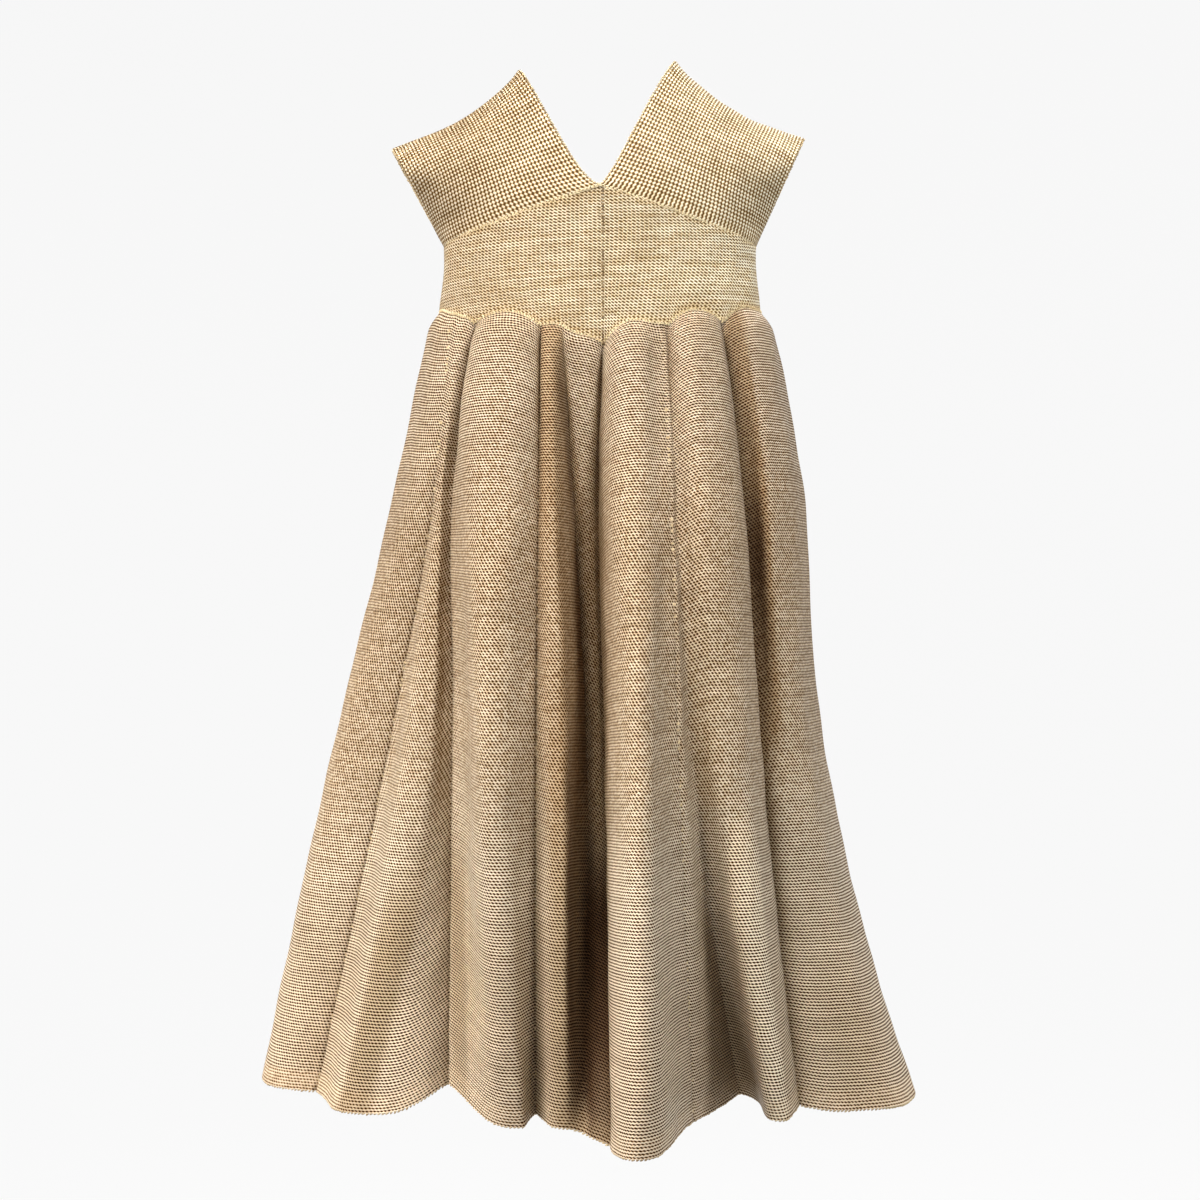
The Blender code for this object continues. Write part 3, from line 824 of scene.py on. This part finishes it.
shares = np.append(skirt["topRows"][:-1], np.linspace(skirt["topRows"][-1], 1, skirt["rows"]))
marks = [i for i, fold in enumerate(folds) if fold.seam] + [len(folds)]
counts = np.concatenate([columnCounts(a, b) for a, b in zip(marks, marks[1:])])
rows = []
for share in shares:
    ring = skirtRing(share)
    rows.append(np.concatenate([spreadPoints(ring, i, n) for i, n in enumerate(counts)]))
skirtGrid = np.array(rows)
places = np.concatenate([i + np.arange(n) / n for i, n in enumerate(counts)])
skirtInto = inward(skirtGrid, True)
skirtInto[0] = intoRing(body["waistRing"], turnsOf(skirtGrid[0], body["waistRing"]))
closedGrid = np.concatenate([skirtGrid, skirtGrid[:, :1]], axis=1)
arc = runAlong(closedGrid, 1)[:, :-1]

# creases, and a shallow dent along each seam that puckers here and there
wide, deep, more = skirt["seamDent"]
seamArc = arc[:, ::skirt["columns"]]
nearest = np.min(np.abs(arc[:, :, None] - seamArc[:, None, :]), axis=2)
downWave, roundWave = skirt["pucker"]
pucker = 0.5 + 0.5 * np.sin(shares * downWave)[:, None] * np.sin(places * roundWave)[None]
pressed = creaseDepth(arc, places, shares) + unevenness(skirtGrid)
pressed += np.exp(-(nearest / wide) ** 2) * (deep + more * pucker)
pressed *= smooth(shares / skirt["topRows"][-1])[:, None]
skirtGrid = skirtGrid + skirtInto * pressed[:, :, None]
skirtInto = inward(skirtGrid, True)
skirtInto[0] = intoRing(body["waistRing"], turnsOf(skirtGrid[0], body["waistRing"]))
ring = np.concatenate([skirtGrid, skirtGrid[:, :1]], axis=1)
into = np.concatenate([skirtInto, skirtInto[:, :1]], axis=1)

# how open each place in the folds is, worked out on some rows and read between them, for the painted shade
# and light in the skirt's colour
probes = np.linspace(0, len(shares) - 1, lightRays["rows"]).astype(int)
probed = np.array([openness(skirtGrid[row], unit(-skirtInto[row][:, :2])) for row in probes])
light = np.array([np.interp(np.arange(len(shares)), probes, column) for column in probed.T]).T
light = (light + np.roll(light, 1, axis=1) + np.roll(light, -1, axis=1)) / 3
light = light - duskDepth(arc, places, shares)
openForPaintedShade = np.concatenate([light, light[:, :1]], axis=1)
print("folds open from", round(float(light.min()), 2), "to", round(float(light.max()), 2))

stitchWidth = np.interp(shares, (0, 1), skirt["stitch"])
ridgeHeight = np.interp(shares**2, (0, 1), skirt["ridge"])
steps = np.diff(shares) * skirt["length"]
ridgesDown = np.append(0, np.cumsum(steps / ((ridgeHeight[1:] + ridgeHeight[:-1]) / 2)))
ridgesUp = ridgesDown[-1] - ridgesDown  # counted from the hem

gores = len(marks) - 1
frontGores = sum(mark < len(frontFolds) for mark in marks)
for number in range(gores):
    columns = slice(number * skirt["columns"], (number + 1) * skirt["columns"] + 1)
    onFront = number < frontGores
    node = f"gore_front_{number + 1}" if onFront else f"gore_back_{number + 1 - frontGores}"
    grid = ring[:, columns]
    run = runAlong(grid, 1)
    across = (run - run[:, -1:] / 2) / stitchWidth[:, None]
    uv = np.stack([across, np.broadcast_to(ridgesUp[:, None], across.shape)], axis=-1)
    looks = {"open": openForPaintedShade[:, columns]}
    pieces[node] = makeCloth(node, trimSides(grid), into[:, columns], uv, looks, skirtKnit)
print("skirt made:", gores, "gores")

# --- bodice

turns = turnsOf(skirtGrid[0], body["waistRing"])
top = body["neckLow"] + (body["underarm"] - body["neckLow"]) * np.abs(np.sin(turns))
rows = []
for share in np.linspace(0, 1, body["rows"]):
    height = skirtGrid[0][:, 2] + (top - skirtGrid[0][:, 2]) * share
    sizes = [w + (c - w) * smooth(share * body["taper"]) for w, c in zip(body["waistRing"], body["chest"])]
    rows.append(np.column_stack([onRing(sizes, turns), height]))
bodiceGrid = np.array(rows)
bodiceInto = -inward(bodiceGrid, True)
bodiceInto[0] = skirtInto[0]
bodiceInto[-1] = intoRing(body["chest"], turnsOf(bodiceGrid[-1], body["chest"]))
toWaist = (bodiceGrid[:, :, 2] - bodiceGrid[:1, :, 2]) / mm
wide, deep = body["centreDent"]
centreLine = np.exp(-(bodiceGrid[:, :, 0] / wide) ** 2)
even, plain = body["evenAtWaist"]
dent = unevenness(bodiceGrid) * smooth(toWaist / even) + centreLine * deep * smooth(toWaist / plain)
bodiceGrid = bodiceGrid + bodiceInto * dent[:, :, None]
ring = np.concatenate([bodiceGrid, bodiceGrid[:, :1]], axis=1)
into = np.concatenate([bodiceInto, bodiceInto[:, :1]], axis=1)
toWaist = np.concatenate([toWaist, toWaist[:, :1]], axis=1)
centreFront = marks.index(skirt["centreFront"])
centreBack = marks.index(len(frontFolds) + skirt["centreBack"])
quarters = {
    "bodice_front_right": (0, centreFront),
    "bodice_front_left": (centreFront, frontGores),
    "bodice_back_left": (frontGores, centreBack),
    "bodice_back_right": (centreBack, gores),
}


def barsNear(way, amount, start, fade):
    return amount * (1 - smooth((way - start) / fade))


for node, (first, last) in quarters.items():
    columns = slice(first * skirt["columns"], last * skirt["columns"] + 1)
    grid = ring[:, columns]
    run = runAlong(grid, 1)
    fromCentre = run - run[:, -1:] if node.endswith(("front_right", "back_left")) else run
    level = (grid[:, :, 2] - body["neckLow"] - fromCentre * body["climb"]) / body["row"]
    uv = np.stack([fromCentre / body["wale"], level], axis=-1)
    fromTop = (grid[-1:, :, 2] - grid[:, :, 2]) / mm
    bars = np.maximum(barsNear(toWaist[:, columns], *body["waistBars"]), barsNear(fromTop, *body["topBars"]))
    looks = {"bars": bars, "leaning": np.ones_like(bars)}
    pieces[node] = makeCloth(node, trimSides(grid), into[:, columns], uv, looks, bodiceKnit)
print("bodice made")

# --- shoulder bands

# Across and up from the origin in mm: the neck edge's end at the shoulder and the outer tip. leave and
# arrive bend the neck edge at its two ends. stitches: how many from neck to arm, and how many rows from
# the slanting seam to the shoulder. bars: how plain the columns show by the slanting seam.
bands = {
    "right": {
        "side": -1,
        "neck": (51, 23),
        "tip": (128, -25),
        "leave": (14, 3),
        "arrive": (22, 37),
        "stitches": (44, 39),
        "bars": 0.2,
    },
    "left": {
        "side": 1,
        "neck": (48, 28),
        "tip": (125.5, -19),
        "leave": (8, 3),
        "arrive": (18, 26),
        "stitches": (46, 43),
        "bars": 0.9,
    },
}
bandShape = {
    "sag": (8.7 * mm, 0.8),  # how far the shoulder hangs, and where most
    "flat": (49 * mm, 38 * mm),  # depth to the front near the shoulder, at the neck and at the arm
    "blend": 0.85,  # share of the way up where that depth is reached
    "round": 0.75,  # the smaller, the sharper the turn over the shoulder
    "columns": 44,
    "rows": 44,
    "shoulderBars": (0.93, 0.03),  # share of the way up where bars begin, and how soon they are plain
    "slantBars": (0.03, 0.05),
    "fadeRows": 4,  # the cloth is even this near the slanting seams
}


def bandGrid(band, facing):
    made = []
    u = np.linspace(0, 1, bandShape["columns"] + 1)
    for angle in np.linspace(0, pi / 2, bandShape["rows"] + 1):
        up = sin(angle)
        low = np.array([0, body["neckLow"]])
        topPoint = np.array(band["neck"]) * mm
        neck = (
            low * (1 - up) ** 3
            + (low + np.array(band["leave"]) * mm) * 3 * up * (1 - up) ** 2
            + (topPoint - np.array(band["arrive"]) * mm) * 3 * up * up * (1 - up)
            + topPoint * up**3
        )
        arm = np.array([body["chest"][0], body["underarm"]]) * (1 - up) + np.array(band["tip"]) * mm * up
        share = np.sin(u * pi / 2) * (1 - up) + u * up
        place = neck + (arm - neck) * share[:, None]
        place[:, 1] -= bandShape["sag"][0] * up**2 * np.sin(share ** bandShape["sag"][1] * pi)
        flat = bandShape["flat"][0] + (bandShape["flat"][1] - bandShape["flat"][0]) * u**2
        blend = smooth(up / bandShape["blend"])
        depth = body["chest"][1] * np.cos(u * pi / 2) * (1 - blend) + flat * blend
        depth = depth * max(cos(angle), 0) ** bandShape["round"]
        made.append(np.column_stack([band["side"] * place[:, 0], facing * depth, place[:, 1]]))
    return np.array(made)


neckPaths = []
armPaths = []
shoulderPaths = []
slantPaths = []
for label, band in bands.items():
    front = bandGrid(band, -1)
    back = bandGrid(band, 1)
    whole = np.concatenate([front, back[-2::-1]])
    into = inward(whole, False) * band["side"] * -1
    for end in (0, -1):
        into[end] = intoRing(body["chest"], turnsOf(whole[end], body["chest"]))
    fromEnd = np.minimum(np.arange(len(whole)), np.arange(len(whole))[::-1])
    dent = unevenness(whole) * smooth(fromEnd / bandShape["fadeRows"])[:, None]
    whole = whole + into * dent[:, :, None]
    count = len(front)
    for side, first in (("front", 0), ("back", count - 1)):
        node = f"strap_{side}_{label}"
        grid = whole[first:first + count]
        run = runAlong(grid, 1)
        climb = runAlong(grid, 0)
        climb = climb / climb[-1:]
        if side == "back":
            climb = 1 - climb
        uv = np.stack([run / run[:, -1:] * band["stitches"][0], climb * band["stitches"][1]], axis=-1)
        start, fade = bandShape["shoulderBars"]
        nearSlant = barsNear(climb, band["bars"], *bandShape["slantBars"])
        bars = np.maximum(smooth((climb - start) / fade), nearSlant)
        pieces[node] = makeCloth(node, grid, into[first:first + count], uv, {"bars": bars}, bodiceKnit)
    neckPaths.append((whole[:, 0], -into[:, 0]))
    armPaths.append((whole[:, -1], -into[:, -1]))
    shoulderPaths.append((whole[count - 1], -into[count - 1]))
    slantPaths.append((whole[0], -into[0]))
    slantPaths.append((whole[-1], -into[-1]))
print("shoulder bands made")


# --- loops along edges and seams, placed by geometry nodes

# Pitch is the way from loop to loop, and Long, Wide and High the size of its two halves. Each half lies
# Spread widths off the middle and turned by Splay. Keep is the share of loops that show, and Ragged how far
# they tilt by chance. In the looks further on, Out is how far the row stands out of the cloth.
plainLoops = {
    "Pitch": 2.2 * mm,
    "Long": 2.4 * mm,
    "Wide": 1.4 * mm,
    "High": 1.2 * mm,
    "Splay": 0.5,
    "Spread": 0.3,
    "Keep": 1.0,
    "Ragged": 0.2,
}


def stitchTree():
    tree = bpy.data.node_groups.new("stitchesAlong", "GeometryNodeTree")
    tree.interface.new_socket("Path", in_out="INPUT", socket_type="NodeSocketGeometry")
    for label, value in plainLoops.items():
        socket = tree.interface.new_socket(label, in_out="INPUT", socket_type="NodeSocketFloat")
        socket.default_value = value
    tree.interface.new_socket("Seed", in_out="INPUT", socket_type="NodeSocketInt")
    tree.interface.new_socket("Yarn", in_out="INPUT", socket_type="NodeSocketMaterial")
    tree.interface.new_socket("Stitches", in_out="OUTPUT", socket_type="NodeSocketGeometry")
    board = Board(tree)
    given = board.node("NodeGroupInput")
    seed = given.out("Seed")
    line = board.node("GeometryNodeMeshToCurve", {}, {"Mesh": given.out("Path")})
    values = {"Curve": line, "Length": given.out("Pitch")}
    line = board.node("GeometryNodeResampleCurve", {"mode": "LENGTH"}, values)
    vectors = {"data_type": "FLOAT_VECTOR"}
    outward = board.node("GeometryNodeInputNamedAttribute", vectors, {"Name": "outward"})
    axes = {"primary_axis": "X", "secondary_axis": "Z"}
    values = {"Primary Axis": board.node("GeometryNodeInputTangent"), "Secondary Axis": outward}
    turn = board.node("FunctionNodeAxesToRotation", axes, values)
    one = board.node("GeometryNodeMeshUVSphere", {}, {"Segments": 6, "Rings": 4, "Radius": 0.5})
    values = {0: given.out("Long"), 1: given.out("Wide"), 2: given.out("High")}
    size = board.node("ShaderNodeCombineXYZ", {}, values)
    halves = []
    for sign in (1, -1):
        shift = board.node("ShaderNodeCombineXYZ", {}, {1: given.out("Wide") * given.out("Spread") * sign})
        lean = board.node("ShaderNodeCombineXYZ", {}, {2: given.out("Splay") * -sign})
        values = {"Geometry": one, "Scale": size, "Rotation": lean, "Translation": shift}
        halves.append(board.node("GeometryNodeTransform", {}, values))
    shape = board.node("GeometryNodeJoinGeometry")
    for half in halves:
        board.tree.links.new(half.socket, shape.socket.node.inputs[0])
    values = {"Probability": given.out("Keep"), "Seed": seed}
    kept = board.node("FunctionNodeRandomValue", {"data_type": "BOOLEAN"}, values, 3)
    # each loop a little larger or smaller
    values = {0: (0.8, 0.8, 0.8), 1: (1.2, 1.2, 1.2), "Seed": seed + 7}
    scale = board.node("FunctionNodeRandomValue", vectors, values)
    values = {"Points": line, "Selection": kept, "Instance": shape, "Rotation": turn, "Scale": scale}
    placed = board.node("GeometryNodeInstanceOnPoints", {}, values)
    ragged = given.out("Ragged") * 0.5
    low = board.node("ShaderNodeCombineXYZ", {}, {axis: ragged * -1 for axis in range(3)})
    high = board.node("ShaderNodeCombineXYZ", {}, {axis: ragged for axis in range(3)})
    tilt = board.node("FunctionNodeRandomValue", vectors, {0: low, 1: high, "Seed": seed + 13})
    placed = board.node("GeometryNodeRotateInstances", {}, {"Instances": placed, "Rotation": tilt})
    real = board.node("GeometryNodeRealizeInstances", {}, {"Geometry": placed})
    real = board.node("GeometryNodeSetShadeSmooth", {}, {"Geometry": real})
    real = board.node("GeometryNodeSetMaterial", {}, {"Geometry": real, "Material": given.out("Yarn")})
    board.node("NodeGroupOutput", {}, {"Stitches": real})
    return tree


stitchesAlong = stitchTree()


def pathMesh(name, paths, out, closed):
    # each path is its points and the outward directions there
    points, ways, edges = [], [], []
    for path, outward in paths:
        start = len(points)
        points += [tuple(point) for point in path + outward * out]
        ways += [tuple(way) for way in outward]
        edges += [(start + i, start + i + 1) for i in range(len(path) - 1)]
        if closed:
            edges.append((start + len(path) - 1, start))
    mesh = bpy.data.meshes.new(name)
    mesh.from_pydata(points, edges, [])
    attribute = mesh.attributes.new("outward", "FLOAT_VECTOR", "POINT")
    attribute.data.foreach_set("vector", np.array(ways).ravel())
    return mesh


def sewStitches(name, paths, look, material, closed=False):
    guide = bpy.data.objects.new(name + "Path", pathMesh(name + "Path", paths, look["Out"], closed))
    bpy.context.scene.collection.objects.link(guide)
    modifier = guide.modifiers.new("stitches", "NODES")
    modifier.node_group = stitchesAlong
    given = {**look, "Yarn": material}
    for item in stitchesAlong.interface.items_tree:
        if item.in_out == "INPUT" and item.name in given:
            modifier[item.identifier] = given[item.name]
    bpy.context.view_layer.update()
    graph = bpy.context.evaluated_depsgraph_get()
    mesh = bpy.data.meshes.new_from_object(guide.evaluated_get(graph))
    mesh.name = name
    guide.modifiers.clear()
    bpy.data.objects.remove(guide)
    piece = bpy.data.objects.new(name, mesh)
    bpy.context.scene.collection.objects.link(piece)
    print(name, len(mesh.polygons), "faces")
    return piece


edges = {}

# the light arched edge where the skirt hangs from the bodice
waistLook = {
    "Pitch": 2.0 * mm,
    "Long": 2.1 * mm,
    "Wide": 0.85 * mm,
    "High": 1.1 * mm,
    "Splay": 0.75,
    "Spread": 0.5,
    "Ragged": 0.35,
    "Out": 0.3 * mm,
    "Seed": 3,
}
waistPath = (skirtGrid[0], -skirtInto[0])
edges["waist_edge"] = sewStitches("waist_edge", [waistPath], waistLook, edgeYarn, closed=True)

# the row of loops that closes the hem, in the middle of the wall
hemLook = {
    "Pitch": 2.5 * mm,
    "Long": 3.0 * mm,
    "Wide": 1.3 * mm,
    "High": 1.5 * mm,
    "Splay": 0.5,
    "Spread": 0.4,
    "Ragged": 0.35,
    "Out": -skirt["wall"] / 2,
    "Seed": 5,
}
hemPath = (skirtGrid[-1], -skirtInto[-1])
edges["hem_edge"] = sewStitches("hem_edge", [hemPath], hemLook, seamYarn, closed=True)

# neck and armholes
openLook = {
    "Pitch": 1.9 * mm,
    "Long": 2.3 * mm,
    "Wide": 1.2 * mm,
    "High": 1.5 * mm,
    "Splay": 0.45,
    "Spread": 0.4,
    "Ragged": 0.25,
    "Out": -skirt["wall"] / 2,
    "Seed": 8,
}
edges["neck_edge"] = sewStitches("neck_edge", neckPaths, openLook, edgeYarn)
edges["armhole_edge"] = sewStitches("armhole_edge", armPaths, openLook, seamYarn, closed=True)

# the slanting seams under the shoulder bands, and the seams over the shoulders
slantLook = {
    "Pitch": 2.3 * mm,
    "Long": 2.5 * mm,
    "Wide": 1.0 * mm,
    "High": 0.9 * mm,
    "Splay": 0.2,
    "Spread": 0.45,
    "Ragged": 0.3,
    "Out": -0.15 * mm,
    "Seed": 11,
}
edges["band_seams"] = sewStitches("band_seams", slantPaths + shoulderPaths, slantLook, edgeYarn)

# sewing that shows here and there along the skirt's seams, from just under the waist
seamLook = {
    "Pitch": 3.6 * mm,
    "Long": 2.0 * mm,
    "Wide": 1.0 * mm,
    "High": 0.9 * mm,
    "Splay": 0.4,
    "Spread": 0.5,
    "Keep": 0.3,
    "Ragged": 0.6,
    "Out": 0.1 * mm,
    "Seed": 21,
}
underWaist = 4  # rows without sewing
seamColumns = [i * skirt["columns"] for i, mark in enumerate(marks[:-1]) if mark not in skirt["plainSeams"]]
seamPaths = [(skirtGrid[underWaist:, column], -skirtInto[underWaist:, column]) for column in seamColumns]
edges["gore_seams"] = sewStitches("gore_seams", seamPaths, seamLook, seamYarn)

# the bodice's seams at front and back, drawn with dark loops as painted shade along them
centreLook = {
    "Pitch": 2.3 * mm,
    "Long": 1.9 * mm,
    "Wide": 0.8 * mm,
    "High": 1.0 * mm,
    "Splay": 0.3,
    "Spread": 0.3,
    "Keep": 0.9,
    "Ragged": 0.4,
    "Out": 0.45 * mm,
    "Seed": 31,
}
centreColumns = [centreFront * skirt["columns"], centreBack * skirt["columns"]]
centrePaths = [(bodiceGrid[:, column], -bodiceInto[:, column]) for column in centreColumns]
edges["centre_seams"] = sewStitches("centre_seams", centrePaths, centreLook, seamShadeYarn)


# --- hang every piece and edge from the root, and hide the frame's parts that the cloth takes the place of

for node, piece in pieces.items():
    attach(piece, "root")
    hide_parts(node)
for label, piece in edges.items():
    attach(piece, "root")

# each cut piece, by its kind; nothing is done with any of them
for node, piece in pieces.items():
    kind, side, which = node.split("_")
    if kind == "gore":
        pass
    elif kind == "bodice":
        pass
    else:
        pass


# --- studio

studio = {
    "floor": -0.95,
    "radius": 3.0,
    "bend": 0.9,
    "top": 1.2,
    "around": 96,  # faces round it, and steps in the bend
    "steps": 12,
    "grey": 0.06,
    "behind": 0.9,  # glow of the floor and the wall behind the gown, and in front of it
    "ahead": 0.42,
    "turnsPale": (-0.6, 1.1),  # from front to back between these places
    "air": ((0.95, 0.97, 1.0), 0.12),  # light from all round
}
# name, place, what it aims at, size in metres, watts, colour, spread in degrees
Lamp = namedtuple("Lamp", "name place aim size power colour spread")
lamps = [
    Lamp("keyLight", (-1.0, -1.5, 2.3), (0.1, 0, -0.95), 1.0, 8.3, (1.0, 0.96, 0.9), 36),
    Lamp("sideLight", (-1.7, -0.8, 0.0), (0, 0, -0.22), 0.8, 10, (1.0, 0.98, 0.96), 110),
    Lamp("fillLight", (1.2, -1.4, 1.3), (0.12, 0, -0.2), 0.5, 5.1, (0.95, 0.98, 1.0), 60),
    Lamp("backLight", (0.7, 1.6, 1.2), (0, 0, -0.3), 0.8, 18, (1.0, 0.98, 0.95), 180),
]
view = {
    "lens": 72.6,
    "sensor": 36,
    "place": (0, -1.5, -0.304),
    "farthest": 50,
}


def makeStudio():
    # a pale round floor that curves up into a wall
    profile = [(0.0, studio["floor"])]
    for step in range(studio["steps"] + 1):
        angle = step / studio["steps"] * pi / 2
        out = studio["radius"] - studio["bend"] + sin(angle) * studio["bend"]
        profile.append((out, studio["floor"] + studio["bend"] * (1 - cos(angle))))
    profile.append((studio["radius"], studio["top"]))
    turns = np.linspace(0, 2 * pi, studio["around"], endpoint=False)
    points = [(r * cos(turn), r * sin(turn), z) for r, z in profile[1:] for turn in turns]
    points.append((0, 0, studio["floor"]))
    count = len(turns)
    pairs = [(i, (i + 1) % count) for i in range(count)]
    faces = [(len(points) - 1, i, j) for i, j in pairs]
    for start in range(0, (len(profile) - 2) * count, count):
        faces += [(start + i, start + count + i, start + count + j, start + j) for i, j in pairs]
    mesh = bpy.data.meshes.new("paleFloor")
    mesh.from_pydata(points, [], faces)
    mesh.polygons.foreach_set("use_smooth", np.ones(len(faces), bool))
    material = bpy.data.materials.new("paleFloor")
    material.use_nodes = True
    shader = material.node_tree.nodes["Principled BSDF"]
    shader.inputs["Base Color"].default_value = (*[studio["grey"]] * 3, 1)
    shader.inputs["Roughness"].default_value = 1.0
    shader.inputs["Specular IOR Level"].default_value = 0.0
    shader.inputs["Emission Strength"].default_value = 1.0
    board = Board(material.node_tree)
    place = board.node("ShaderNodeSeparateXYZ", {}, {0: board.node("ShaderNodeTexCoord", {}, {}, "Object")})
    back = place.out("Y").between(*studio["turnsPale"])
    glow = board.mix(back, (studio["ahead"],) * 3, (studio["behind"],) * 3)
    board.tree.links.new(glow.socket, shader.inputs["Emission Color"])
    mesh.materials.append(material)
    floor = bpy.data.objects.new("paleFloor", mesh)
    bpy.context.scene.collection.objects.link(floor)
    floor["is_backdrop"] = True


def hangLamp(lamp):
    data = bpy.data.lights.new(lamp.name, "AREA")
    data.size = lamp.size
    data.energy = lamp.power
    data.color = lamp.colour
    data.spread = radians(lamp.spread)
    light = bpy.data.objects.new(lamp.name, data)
    light.location = lamp.place
    light.rotation_euler = (Vector(lamp.aim) - Vector(lamp.place)).to_track_quat("-Z", "Y").to_euler()
    bpy.context.scene.collection.objects.link(light)


def fillAir():
    world = bpy.data.worlds.new("studioAir")
    world.use_nodes = True
    background = world.node_tree.nodes["Background"]
    colour, strength = studio["air"]
    background.inputs["Color"].default_value = (*colour, 1)
    background.inputs["Strength"].default_value = strength
    bpy.context.scene.world = world
    bpy.context.scene.view_settings.view_transform = "Standard"


def placeCamera():
    lens = bpy.data.cameras.new("camera")
    lens.lens = view["lens"]
    lens.sensor_width = view["sensor"]
    lens.clip_end = view["farthest"]
    camera = bpy.data.objects.new("camera", lens)
    camera.location = view["place"]
    camera.rotation_euler = (pi / 2, 0, 0)
    bpy.context.scene.collection.objects.link(camera)
    bpy.context.scene.camera = camera


makeStudio()
for lamp in lamps:
    hangLamp(lamp)
fillAir()
placeCamera()
print("studio ready:", len(lamps), "lamps")

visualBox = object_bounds()
sizes = {"cad": [list(corner) for corner in cadBox], "visual": [list(corner) for corner in visualBox]}
